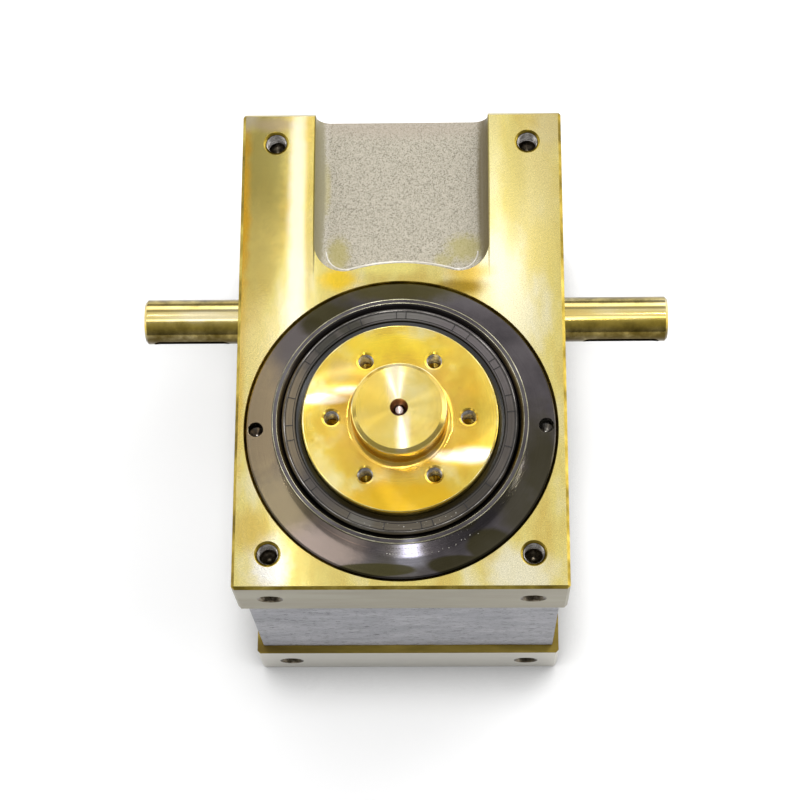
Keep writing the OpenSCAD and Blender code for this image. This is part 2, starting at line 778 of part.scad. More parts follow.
module rear_cover() {
  spigot_top = rear_cover_t + rear_spigot_len;
  color("#8f8d84")
    difference() {
      union() {
        chamfered_disc(rear_cover_r, 0, rear_cover_t, 0.4);
        tube(rear_opening_r - seat_gap, 0, rear_cover_t - over, spigot_top);
      }
      rear_cover_groove();
      rotate([180, 0, 0])
        around(rear_screws, rear_screw_circle_r) cap_screw_hole();
    }
}

rear_oring_z = rear_cover_t - oring_groove_w / 2 - 0.8;
module rear_cover_groove() { o_ring_groove(rear_cover_r + seat_gap, rear_oring_z); }
module rear_cover_oring() {
  color("#202020") o_ring(rear_cover_r + seat_gap, rear_oring_z);
}

module rear_cover_screws() {
  color("#3c3c3e")
    rotate([180, 0, 0])
      around(rear_screws, rear_screw_circle_r)
        translate([0, 0, -screw_sink]) cap_screw();
}

// ---------------------------------------------------------------- input sleeves

sleeve_oring_z = -sleeve_flange_t - oring_groove_w / 2 - 1.6;

module input_sleeve(side) {
  shoulder_r = input_brg_bore_r + 1.5;
  cup_depth = half_w - cup_end_x;
  seal_depth = half_w - input_seal_x;
  color("#6f6d68")
    on_sleeve(side)
      difference() {
        union() {
          chamfered_disc(sleeve_flange_r, -sleeve_flange_t, 0, 0.6);
          translate([0, 0, -sleeve_len])
            cylinder(r1 = sleeve_r - sleeve_lead, r2 = sleeve_r, h = sleeve_lead);
          tube(sleeve_r, 0, -sleeve_len + sleeve_lead, -sleeve_flange_t + over);
        }
        translate([0, sleeve_offset, 0]) {
          tube(input_brg_r + seat_gap, 0, -sleeve_len - over, -cup_depth);
          tube(shoulder_r, 0, -cup_depth - over, -seal_depth + over);
          tube(input_seal_r + seat_gap, 0, -seal_depth, over);
        }
        o_ring_groove(sleeve_r + seat_gap, sleeve_oring_z);
        around(sleeve_screws, sleeve_screw_circle_r, 45) cap_screw_hole();
      }
}

module sleeve_screws(side) {
  color("#3c3c3e")
    on_sleeve(side)
      around(sleeve_screws, sleeve_screw_circle_r, 45)
        translate([0, 0, -screw_sink]) cap_screw();
}

module sleeve_oring(side) {
  color("#202020") on_sleeve(side) o_ring(sleeve_r + seat_gap, sleeve_oring_z);
}

module input_seal(side) {
  color("#3a3734")
    translate([side * input_seal_x, input_y, input_z])
      rotate([0, side * 90, 0]) oil_seal(input_seal_r, input_land_r, input_seal_w);
}

module input_bearing_cup(side) { color("silver") at_input(side) bearing_cup(input_brg); }
module input_bearing_cone(side) { color("silver") at_input(side) bearing_cone(input_brg); }
module input_rollers(side) { color("white") at_input(side) bearing_rollers(input_brg); }
module input_cage(side) { color("#c9a24a") at_input(side) bearing_cage(input_brg); }

// ---------------------------------------------------------------- oil fittings

module oil_plug(dz) {
  color("#8f8d84")
    on_far_end(dz)
      difference() {
        union() {
          tube(plug_flange_r, 0, washer_t, washer_t + plug_flange_t);
          tube(plug_r, 0, -plug_len, washer_t + over / 2);
        }
        translate([0, 0, washer_t + plug_flange_t - 5])
          cylinder(r = 5 / sqrt(3), h = 5 + over, $fn = 6);
      }
}

module fill_plug() { oil_plug(plug_spacing); }
module drain_plug() { oil_plug(-plug_spacing); }

module plug_washers() {
  color("#b87333")
    for (dz = [-plug_spacing, plug_spacing])
      on_far_end(dz) tube(plug_flange_r, plug_r + seat_gap, 0, washer_t);
}

sight_window_r = sight_r - 1.6;

module sight_glass_body() {
  rim_z = washer_t + sight_rim_t;
  color("#c8c4b8")
    on_far_end(0)
      difference() {
        union() {
          tube(sight_rim_r, 0, washer_t, rim_z);
          tube(sight_r, 0, -sight_len, washer_t + over / 2);
        }
        tube(sight_window_r + seat_gap, 0, rim_z - 3, rim_z + over);
        tube(sight_window_r - 1.2, 0, -sight_len - over, rim_z);
      }
}

module sight_glass_window() {
  rim_z = washer_t + sight_rim_t;
  color("#cfe4e0") on_far_end(0) tube(sight_window_r, 0, rim_z - 3, rim_z - 0.4);
}

module sight_glass_gasket() {
  color("#202020") on_far_end(0) tube(sight_rim_r - 0.5, sight_r + seat_gap, 0, washer_t);
}

// ---------------------------------------------------------------- input shaft and cam

module input_shaft() {
  c = input_end_chamfer;
  land_x = half_w + input_land_out;
  key_mid = shaft_half_len - end_key_start - end_key_len / 2;
  key_floor = input_end_r - end_key_depth;
  color("#cdb84e")
    translate([0, input_y, input_z])
      difference() {
        rotate([0, 90, 0])
          rotate_extrude()
            polygon([
              [0, -shaft_half_len], [input_end_r - c, -shaft_half_len],
              [input_end_r, -shaft_half_len + c], [input_end_r, -land_x],
              [input_land_r, -land_x], [input_land_r, -input_journal_x],
              [input_brg_bore_r, -input_journal_x], [input_brg_bore_r, -cam_len / 2],
              [cam_seat_r, -cam_len / 2], [cam_seat_r, cam_len / 2],
              [input_brg_bore_r, cam_len / 2], [input_brg_bore_r, input_journal_x],
              [input_land_r, input_journal_x], [input_land_r, land_x],
              [input_end_r, land_x], [input_end_r, shaft_half_len - c],
              [input_end_r - c, shaft_half_len], [0, shaft_half_len]
            ]);
        for (side = [-1, 1])
          translate([side * key_mid, 0, 0])
            rotate([180 + end_key_turn, 0, 0])
              rotate([0, 90, 0])
                round_key(end_key_w, end_key_len, key_floor, input_end_r + over);
        translate([0, -input_y, -input_z])
          cam_key_place()
            round_key(cam_key_w, cam_key_len, cam_key_foot, cam_seat_r + over);
      }
}

module cam_key() {
  color("#9a9a98")
    cam_key_place()
      round_key(
        cam_key_w - 2 * seat_gap, cam_key_len - 2 * seat_gap, cam_key_foot, cam_key_top
      );
}

module cam_spacers() {
  color("#a8a6a0")
    on_input_axis()
      for (z0 = [-cam_len / 2 - spacer_len, cam_len / 2])
        tube(spacer_r, input_brg_bore_r + seat_gap, z0, z0 + spacer_len);
}

// The rib of the cam. In the plane through both axes, at the cam's own angle turn, the rib
// fills the wedge between two neighbouring rollers. The wedge moves round the turret by
// turn / stops, so the roller flanks and the rib flanks stay parallel all the way.

// Half width of the groove at distance t from the output axis, widened for the lead
function groove_half(t, angle) =
  let (lead = atan((t / stops) / (centre_distance - t * cos(angle))))
  roller_r / cos(lead) + cam_gap;

// The point on the flank beside the roller at this angle, t out along the roller's axis
function flank_point(angle, t, toward) =
  let (w = groove_half(t, angle))
  [-t * sin(angle) + toward * w * cos(angle), t * cos(angle) + toward * w * sin(angle)];

// The corners of the rib section whose middle is at this turret angle
function rib_section(angle) =
  let (a = angle + follower_pitch / 2, b = angle - follower_pitch / 2)
  [
    flank_point(a, rib_tip_r, 1), flank_point(a, rib_root_r, 1),
    flank_point(b, rib_root_r, -1), flank_point(b, rib_tip_r, -1)
  ];

// A point of a section, swung about the input axis by the cam's own angle
function swung(p, turn) =
  let (d = centre_distance - p[1])
  [p[0], input_y - d * cos(turn), input_z - d * sin(turn)];

module cam_rib() {
  turns = [for (t = [-rib_half_turn : rib_step : rib_half_turn]) t];
  count = len(turns);
  points = [for (t = turns) for (p = rib_section(-t / stops)) swung(p, t)];
  sides = [
    for (i = [0 : count - 2], k = [0 : 3])
      let (a = 4 * i + k, b = 4 * i + (k + 1) % 4)
      each [[a, b + 4, b], [a, a + 4, b + 4]]
  ];
  last = 4 * (count - 1);
  caps = [
    [0, 2, 3], [0, 1, 2],
    [last, last + 2, last + 1], [last, last + 3, last + 2]
  ];
  polyhedron(points = points, faces = concat(sides, caps), convexity = 8);
}

// The turned body of the cam, hollowed to the path of the follower tips
module cam_body() {
  rotate_extrude()
    difference() {
      translate([0, -cam_len / 2]) square([cam_r, cam_len]);
      translate([centre_distance, 0]) circle(r = floor_r);
    }
}

// Places a child on the input axis, with Z along the shaft
module on_input_axis() {
  translate([0, input_y, input_z]) rotate([0, 90, 0]) children();
}

// Places a key or a keyway of the cam, with Y pointing away from the input axis
module cam_key_place() {
  translate([0, input_y, input_z]) rotate([90, 0, 0]) rotate([0, 90, 0]) children();
}

cam_key_foot = cam_seat_r - cam_key_h / 2 - 0.5;
cam_key_top = cam_key_foot + cam_key_h;

module globoidal_cam() {
  color("#b9b6ae") {
    difference() {
      on_input_axis() cam_body();
      on_input_axis()
        cylinder(r = cam_seat_r + seat_gap, h = cam_len + 2 * over, center = true);
      cam_key_place()
        translate([-cam_key_w / 2, 0, -cam_len / 2 - over])
          cube([cam_key_w, cam_key_top + clear_gap, cam_len + 2 * over]);
    }
    intersection() {
      cam_rib();
      on_input_axis() cylinder(r = cam_r, h = cam_len, center = true);
    }
  }
}

// ---------------------------------------------------------------- output shaft and turret

module output_shaft() {
  c = 0.5;
  land_r = front_brg_bore_r + 3;
  under_z = front_cup_z + 1.5;
  key_floor = stem_r - turret_key_h / 2 - 0.5;
  color("#e3c93f")
    difference() {
      rotate_extrude()
        polygon([
          [0, tail_z], [rear_brg_bore_r - 1, tail_z], [rear_brg_bore_r, tail_z + 1],
          [rear_brg_bore_r, rear_cone_z], [stem_r, rear_cone_z], [stem_r, front_cone_z],
          [front_brg_bore_r, front_cone_z], [front_brg_bore_r, front_cup_z],
          [land_r, front_cup_z], [land_r, under_z], [flange_r - c, under_z],
          [flange_r, under_z + c], [flange_r, flange_z - c], [flange_r - c, flange_z],
          [0, flange_z]
        ]);
      around(flange_holes, flange_hole_circle_r)
        translate([0, 0, flange_z])
          tapped_hole(flange_hole_r, flange_hole_mouth_r, flange_hole_depth);
      turret_key_place()
        round_key(turret_key_w, turret_key_len, key_floor, stem_r + over);
    }
  color("#e3c93f") output_boss();
}

// The centring boss, with a hollow fillet at its foot and a centre hole in its top
module output_boss() {
  f = boss_fillet_r;
  c = boss_chamfer;
  drill_r = centre_hole_r * 0.42;
  cone_depth = (centre_hole_r - drill_r) * 1.732;
  translate([0, 0, flange_z])
    rotate_extrude()
      difference() {
        union() {
          polygon([
            [0, -over], [boss_r, -over], [boss_r, boss_h - c], [boss_r - c, boss_h],
            [centre_hole_r, boss_h], [drill_r, boss_h - cone_depth],
            [drill_r, boss_h - cone_depth - 3], [0, boss_h - cone_depth - 3]
          ]);
          translate([boss_r - over, 0]) square([f + over, f]);
        }
        translate([boss_r + f, f]) circle(r = f);
      }
}

module turret_key_place() {
  translate([0, 0, front_cone_z - turret_key_len / 2 - 2])
    rotate([0, 0, 180]) children();
}

module turret_key() {
  foot = stem_r - turret_key_h / 2 - 0.5;
  color("#9a9a98")
    turret_key_place()
      round_key(
        turret_key_w - 2 * seat_gap, turret_key_len - 2 * seat_gap, foot, foot + turret_key_h
      );
}

// Places a child on the axis of follower i, with Z pointing out from the output axis
module at_follower(i) {
  translate([0, 0, input_z])
    rotate([0, 0, first_follower + (i - 1) * follower_pitch])
      rotate([0, 90, 0]) children();
}

module turret() {
  hub_foot = input_z + upper_hub_rise;
  key_roof = stem_r + turret_key_h / 2 - 0.5 + clear_gap;
  key_z = front_cone_z - turret_key_len - 2 - clear_gap;
  color("#a8a6a0")
    difference() {
      rotate_extrude()
        polygon([
          [stem_r + seat_gap, rear_cone_z], [lower_hub_r, rear_cone_z],
          [lower_hub_r, input_z - turret_half_h - 1], [lower_hub_r + 1, input_z - turret_half_h],
          [turret_r, input_z - turret_half_h], [turret_r, hub_foot],
          [upper_hub_r, hub_foot], [upper_hub_r, front_cone_z], [stem_r + seat_gap, front_cone_z]
        ]);
      for (i = [1 : stops])
        at_follower(i)
          translate([0, 0, stud_root - 0.3])
            cylinder(r = stud_shank_r + seat_gap, h = turret_r);
      around(stops, set_screw_circle_r, first_follower)
        translate([0, 0, input_z - turret_half_h - over])
          cylinder(r = set_screw_r + seat_gap, h = turret_half_h + over);
      translate([-turret_key_w / 2, -key_roof, key_z])
        cube([turret_key_w, key_roof, front_cone_z - key_z + over]);
    }
}

set_screw_circle_r = (lower_hub_r + turret_r) / 2;

module follower_studs() {
  color("#c4c2bc")
    for (i = [1 : stops])
      at_follower(i) {
        tube(stud_shank_r, 0, stud_root, turret_r + 0.5);
        tube(stud_head_r, 0, turret_r + seat_gap, roller_start - 0.1);
        tube(stud_journal_r, 0, turret_r + 0.5, roller_end + 0.5);
        tube(stud_head_r, 0, roller_end + 0.1, stud_end);
      }
}

module follower_roller(i) {
  c = 0.4;
  color("#d8d6d0")
    at_follower(i)
      rotate_extrude()
        polygon([
          [stud_journal_r + run_gap, roller_start], [roller_r - c, roller_start],
          [roller_r, roller_start + c], [roller_r, roller_end - c],
          [roller_r - c, roller_end], [stud_journal_r + run_gap, roller_end]
        ]);
}

module follower_set_screws() {
  foot = input_z - turret_half_h + 0.6;
  top = input_z - stud_shank_r - seat_gap;
  color("#3c3c3e")
    around(stops, set_screw_circle_r, first_follower)
      difference() {
        tube(set_screw_r, 0, foot, top);
        translate([0, 0, foot - over])
          cylinder(r = 2 / sqrt(3), h = 2 + over, $fn = 6);
      }
}

module front_bearing_cone() { color("silver") at_front() bearing_cone(front_brg); }
module rear_bearing_cone() { color("silver") at_rear() bearing_cone(rear_brg); }
module front_rollers() { color("white") at_front() bearing_rollers(front_brg); }
module front_cage() { color("#c9a24a") at_front() bearing_cage(front_brg); }
module rear_rollers() { color("white") at_rear() bearing_rollers(rear_brg); }
module rear_cage() { color("#c9a24a") at_rear() bearing_cage(rear_brg); }

module tail_lock_washer() {
  color("#a8a6a0")
    tube(rear_brg_bore_r + 4.5, rear_brg_bore_r + seat_gap, rear_cup_z - lockwasher_t, rear_cup_z);
}

module tail_lock_nut() {
  slots = 4;
  slot_w = 5;
  slot_depth = 2;
  color("#5b5a57")
    difference() {
      tube(locknut_r, rear_brg_bore_r + seat_gap, locknut_z, locknut_z + locknut_t);
      around(slots, locknut_r - slot_depth)
        translate([0, -slot_w / 2, locknut_z - over])
          cube([slot_depth + over, slot_w, locknut_t + 2 * over]);
    }
}

// ---------------------------------------------------------------- nodes

housing();
adjusting_ring();
ring_oring();
front_seal();
front_bearing_cup();
rear_bearing_cup();
rear_cover();
rear_cover_oring();
rear_cover_screws();
input_sleeve(-1);  // input_sleeve_left
input_sleeve(1);  // input_sleeve_right
sleeve_screws(-1);  // sleeve_screws_left
sleeve_screws(1);  // sleeve_screws_right
sleeve_oring(-1);  // sleeve_oring_left
sleeve_oring(1);  // sleeve_oring_right
input_seal(-1);  // input_seal_left
input_seal(1);  // input_seal_right
input_bearing_cup(-1);  // input_bearing_cup_left
input_bearing_cup(1);  // input_bearing_cup_right
fill_plug();
drain_plug();
plug_washers();
sight_glass_body();
sight_glass_window();
sight_glass_gasket();
input_shaft();
globoidal_cam();
cam_key();
cam_spacers();
input_bearing_cone(-1);  // input_bearing_cone_left
input_bearing_cone(1);  // input_bearing_cone_right
input_rollers(-1);  // input_rollers_left
input_cage(-1);  // input_cage_left
input_rollers(1);  // input_rollers_right
input_cage(1);  // input_cage_right
output_shaft();
turret();
turret_key();
follower_studs();
follower_set_screws();
front_bearing_cone();
rear_bearing_cone();
tail_lock_washer();
tail_lock_nut();
front_rollers();
front_cage();
rear_rollers();
rear_cage();
follower_roller(1);  // follower_roller_1
follower_roller(2);  // follower_roller_2
follower_roller(3);  // follower_roller_3
follower_roller(4);  // follower_roller_4
follower_roller(5);  // follower_roller_5
follower_roller(6);  // follower_roller_6
follower_roller(7);  // follower_roller_7
follower_roller(8);  // follower_roller_8
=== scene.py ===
"""Looks of a roller gear cam indexer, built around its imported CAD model.

Lengths are metres in the frame of the part: +Z is the output axis, X runs along the input
shaft, +Y goes from the output axis to the input axis, and z = 0 is the rear face.
"""

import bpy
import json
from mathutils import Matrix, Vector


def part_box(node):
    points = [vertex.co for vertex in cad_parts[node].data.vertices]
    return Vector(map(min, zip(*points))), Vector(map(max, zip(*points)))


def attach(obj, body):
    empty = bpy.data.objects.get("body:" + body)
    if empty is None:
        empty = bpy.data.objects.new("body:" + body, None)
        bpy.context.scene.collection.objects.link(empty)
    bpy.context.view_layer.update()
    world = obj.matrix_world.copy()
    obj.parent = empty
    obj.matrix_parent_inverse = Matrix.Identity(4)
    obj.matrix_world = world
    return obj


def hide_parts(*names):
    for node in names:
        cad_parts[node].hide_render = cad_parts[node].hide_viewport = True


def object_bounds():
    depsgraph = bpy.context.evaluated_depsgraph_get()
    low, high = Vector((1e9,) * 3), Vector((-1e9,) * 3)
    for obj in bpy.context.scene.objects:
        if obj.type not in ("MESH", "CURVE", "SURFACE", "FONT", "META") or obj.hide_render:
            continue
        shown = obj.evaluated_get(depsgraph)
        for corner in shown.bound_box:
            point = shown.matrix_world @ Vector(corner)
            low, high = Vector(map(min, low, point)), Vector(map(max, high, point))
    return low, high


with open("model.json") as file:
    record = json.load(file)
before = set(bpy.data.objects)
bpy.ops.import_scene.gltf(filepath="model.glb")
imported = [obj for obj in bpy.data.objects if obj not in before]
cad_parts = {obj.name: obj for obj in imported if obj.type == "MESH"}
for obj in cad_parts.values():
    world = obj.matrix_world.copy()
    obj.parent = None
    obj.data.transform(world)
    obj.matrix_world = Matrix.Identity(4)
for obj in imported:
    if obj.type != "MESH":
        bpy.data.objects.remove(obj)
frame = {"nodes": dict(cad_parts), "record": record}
CAD_BOX = [[float(v) for v in corner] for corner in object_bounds()]

import json
import logging
import math
from dataclasses import dataclass, field
from enum import Enum
from typing import Any

import bmesh
import bpy
from mathutils import Matrix, Vector, noise

MM = 0.001
# Sockets that share their name with another socket of the Mix node.
MIX_A, MIX_B, MIX_RESULT = 6, 7, 2
# Edges sharper than this stay sharp on the modelled pieces and on the casting.
PIECE_CREASE_DEG = 32
CASTING_CREASE_DEG = 20
log = logging.getLogger("cam_indexer")


# ------------------------------------------------------------------ shared helpers


def srgb(code: str) -> tuple[float, float, float, float]:
    """Turns an sRGB hex colour into linear RGBA.

    Args:
        code: Six hex digits, such as "e3c65a".

    Returns:
        The four linear channels, with full alpha.
    """
    channels = [int(code[i : i + 2], 16) / 255 for i in (0, 2, 4)]
    linear = [c / 12.92 if c <= 0.04045 else ((c + 0.055) / 1.055) ** 2.4 for c in channels]
    return (linear[0], linear[1], linear[2], 1.0)


def add(tree: Any, kind: str, inputs: dict[Any, Any] | None = None,
        stops: list[tuple[float, Any]] | None = None, **settings: Any) -> Any:
    """Adds a shader node, sets it and links it.

    Args:
        tree: The node tree of a material or of the world.
        kind: The node's type, without the leading ShaderNode.
        inputs: Socket name or number to a value, or to the output socket that feeds it.
        stops: Positions and linear RGBA colours, where the node is a colour ramp.
        **settings: Attributes of the node.

    Returns:
        The new node.
    """
    node = tree.nodes.new("ShaderNode" + kind)
    for name, value in settings.items():
        setattr(node, name, value)
    for key, value in (inputs or {}).items():
        socket = node.inputs[key]
        if isinstance(value, bpy.types.NodeSocket):
            tree.links.new(value, socket)
        else:
            socket.default_value = value
    if stops:
        elements = node.color_ramp.elements
        while len(elements) < len(stops):
            elements.new(0.5)
        for element, (position, colour) in zip(elements, stops):
            element.position = position
            element.color = colour
    return node


def grey(value: float) -> tuple[float, float, float, float]:
    """Returns a linear grey with full alpha."""
    return (value, value, value, 1.0)


def blank_tree(owner: Any) -> Any:
    """Gives a material or a world an empty node tree, and returns the tree."""
    owner.use_nodes = True
    owner.node_tree.nodes.clear()
    return owner.node_tree


def placed(name: str, bm: bmesh.types.BMesh) -> Any:
    """Makes an object of a bmesh, which is freed, and puts it in the scene.

    Args:
        name: The object's name.
        bm: Its geometry, in place.

    Returns:
        The new object.
    """
    mesh = bpy.data.meshes.new(name)
    bm.to_mesh(mesh)
    bm.free()
    made = bpy.data.objects.new(name, mesh)
    bpy.context.scene.collection.objects.link(made)
    return made


def finished_object(name: str, bm: bmesh.types.BMesh, body: str, finish: "Finish") -> None:
    """Makes an object of a bmesh, dresses it and lets it ride on a body.

    Args:
        name: The piece's name.
        bm: Its geometry, in place, which is freed here.
        body: The CAD body that carries it.
        finish: The finish of all its faces.
    """
    piece = placed(name, bm)
    mesh = piece.data
    mesh.materials.append(finish.material())
    mesh.shade_smooth()
    mesh.set_sharp_from_angle(angle=math.radians(PIECE_CREASE_DEG))
    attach(piece, body)
    log.info("%s: %d faces on %s", name, len(mesh.polygons), body)


def turned(bm: bmesh.types.BMesh, outline: list[Any], angle: float, steps: int,
           centre: Any = (0, 0, 0), rise: float = 0.0, closed: bool = False) -> list[Any]:
    """Sweeps an outline about an axis along Z.

    Args:
        bm: The bmesh.
        outline: Its vertices and edges to sweep.
        angle: The whole angle in radians.
        steps: The number of steps.
        centre: A point on the axis.
        rise: How far the outline moves along the axis in a step.
        closed: Whether the last step meets the first.

    Returns:
        The vertices and edges at the end of the sweep.
    """
    return bmesh.ops.spin(
        bm, geom=outline, cent=centre, axis=(0, 0, 1), dvec=(0, 0, rise), angle=angle,
        steps=steps, use_merge=closed, use_normal_flip=False, use_duplicate=False,
    )["geom_last"]


def strip(bm: bmesh.types.BMesh, points: list[tuple[float, float]]) -> list[Any]:
    """Adds an open outline of radii and heights, ready to be turned.

    Args:
        bm: The bmesh.
        points: Distance from the axis and height of each corner.

    Returns:
        Its vertices and edges.
    """
    corners = [bm.verts.new((radius, 0.0, height)) for radius, height in points]
    return corners + [bm.edges.new(pair) for pair in zip(corners, corners[1:])]


def bead(bm: bmesh.types.BMesh, radius: float, at: tuple[float, float, float]) -> list[Any]:
    """Adds the round outline of a bead to an empty bmesh, upright and facing along Y.

    Args:
        bm: The bmesh.
        radius: The bead's radius.
        at: The outline's middle.

    Returns:
        Its vertices and edges.
    """
    stand = Matrix.Translation(at) @ Matrix.Rotation(math.pi / 2, 4, "X")
    bmesh.ops.create_circle(bm, segments=8, radius=radius, matrix=stand)
    return bm.verts[:] + bm.edges[:]


# ------------------------------------------------------------------ finishes


def grain(tree: Any, place: Any, size_mm: float, stretch: tuple[float, float, float] = (1, 1, 1),
          detail: float = 3.0, rough: float = 0.5) -> Any:
    """Adds noise whose blotches have a real size.

    Args:
        tree: The node tree.
        place: The coordinates in metres.
        size_mm: The width of a blotch in millimetres.
        stretch: How many times longer it is along each axis.
        detail: Number of finer layers.
        rough: Strength of the finer layers.

    Returns:
        The noise's factor socket.
    """
    scale = [1 / (size_mm * MM * s) for s in stretch]
    mapped = add(tree, "Mapping", {"Vector": place, "Scale": scale})
    made = add(tree, "TexNoise", {
        "Vector": mapped.outputs["Vector"], "Scale": 1.0, "Detail": detail, "Roughness": rough,
    })
    return made.outputs["Fac"]


def from_axis(tree: Any, place: Any) -> Any:
    """Adds the distance from the output axis, in metres."""
    flat = add(tree, "VectorMath", {0: place, 1: (1, 1, 0)}, operation="MULTIPLY")
    return add(tree, "VectorMath", {0: flat.outputs[0]}, operation="LENGTH").outputs["Value"]


class Lay(Enum):
    """The way in which a surface's tool marks lie."""

    LEVEL = "long marks level with the base, from a face mill"
    RINGS = "rings round the output axis, from a lathe"
    HOOPS = "hoops round the input shaft, from a grinder"
    DRAWN = "short level scratches, as from a pattern drawn out of the sand"
    NONE = "no way, as on a casting or on rubber"


def marks(tree: Any, place: Any, lay: Lay, size_mm: float) -> Any:
    """Adds the pattern of the tool marks.

    Args:
        tree: The node tree.
        place: The coordinates in metres.
        lay: The way in which they lie.
        size_mm: The distance between them in millimetres.

    Returns:
        A factor socket.
    """
    if lay is Lay.LEVEL:
        return grain(tree, place, size_mm, (40, 40, 1), 2.0, 0.6)
    if lay is Lay.DRAWN:
        scratch = grain(tree, place, size_mm, (6, 6, 1), 2.0, 0.7)
        return add(tree, "MapRange", {
            "Value": scratch, "From Min": 0.36, "From Max": 0.43,
        }).outputs[0]
    if lay is Lay.NONE:
        return grain(tree, place, size_mm, (1, 1, 1), 3.0, 0.6)
    if lay is Lay.RINGS:
        along = from_axis(tree, place)
    else:
        along = add(tree, "SeparateXYZ", {"Vector": place}).outputs["X"]
    line = add(tree, "TexNoise", {
        "W": along, "Scale": 1 / (size_mm * MM), "Detail": 2.0, "Roughness": 0.6,
    }, noise_dimensions="1D")
    return line.outputs["Fac"]


@dataclass(frozen=True)
class Patch:
    """A soft-edged spot of another colour. Patches here paint stains and thick places in oil
    films, and also painted highlights, painted reflections and painted shade.

    Attributes:
        at: Its middle in millimetres.
        reach: Its half sizes in millimetres.
        colour: Its sRGB colour.
        strength: How much of the ground it hides.
        soft: The softness of its edge, as a part of its size.
        ragged: How deep the bays in its edge are.
    """

    at: tuple[float, float, float]
    reach: tuple[float, float, float]
    colour: str
    strength: float = 0.8
    soft: float = 0.55
    ragged: float = 1.0


def spots(z: float, depth: float, rows: tuple[Any, ...]) -> tuple[Patch, ...]:
    """Makes patches whose middles lie at one height.

    Args:
        z: That height in millimetres.
        depth: Their half size along Z in millimetres.
        rows: For each patch its X and Y, its half sizes along them, its colour, and what else
            it sets.

    Returns:
        The patches, from the lowest to the highest.
    """
    return tuple(Patch((x, y, z), (w, h, depth), *rest) for x, y, w, h, *rest in rows)


def spread(tree: Any, place: Any, ground: Any, patches: tuple[Patch, ...],
           ragged_mm: float = 5.0) -> Any:
    """Lays patches over a colour, each with a ragged edge.

    Args:
        tree: The node tree.
        place: The coordinates in metres.
        ground: The colour socket below the patches.
        patches: The patches, from the lowest to the highest.
        ragged_mm: The size of the bays in their edges.

    Returns:
        The colour socket with the patches.
    """
    if not patches:
        return ground
    bays = grain(tree, place, ragged_mm, (1, 1, 1), 4.0, 0.6)
    for patch in patches:
        scale = [1 / (r * MM) for r in patch.reach]
        shift = [-a / r for a, r in zip(patch.at, patch.reach)]
        local = add(tree, "Mapping", {"Vector": place, "Location": shift, "Scale": scale})
        far = add(tree, "VectorMath", {0: local.outputs[0]}, operation="LENGTH")
        torn = add(tree, "Math", {0: bays, 1: patch.ragged, 2: far.outputs["Value"]},
                   operation="MULTIPLY_ADD")
        edge = 1 + 0.5 * patch.ragged
        shown = add(tree, "MapRange", {
            "Value": torn.outputs[0], "From Min": edge - patch.soft,
            "From Max": edge + patch.soft, "To Min": patch.strength, "To Max": 0.0,
        }, interpolation_type="SMOOTHSTEP")
        ground = add(tree, "Mix", {
            0: shown.outputs[0], MIX_A: ground, MIX_B: srgb(patch.colour),
        }, data_type="RGBA").outputs[MIX_RESULT]
    return ground


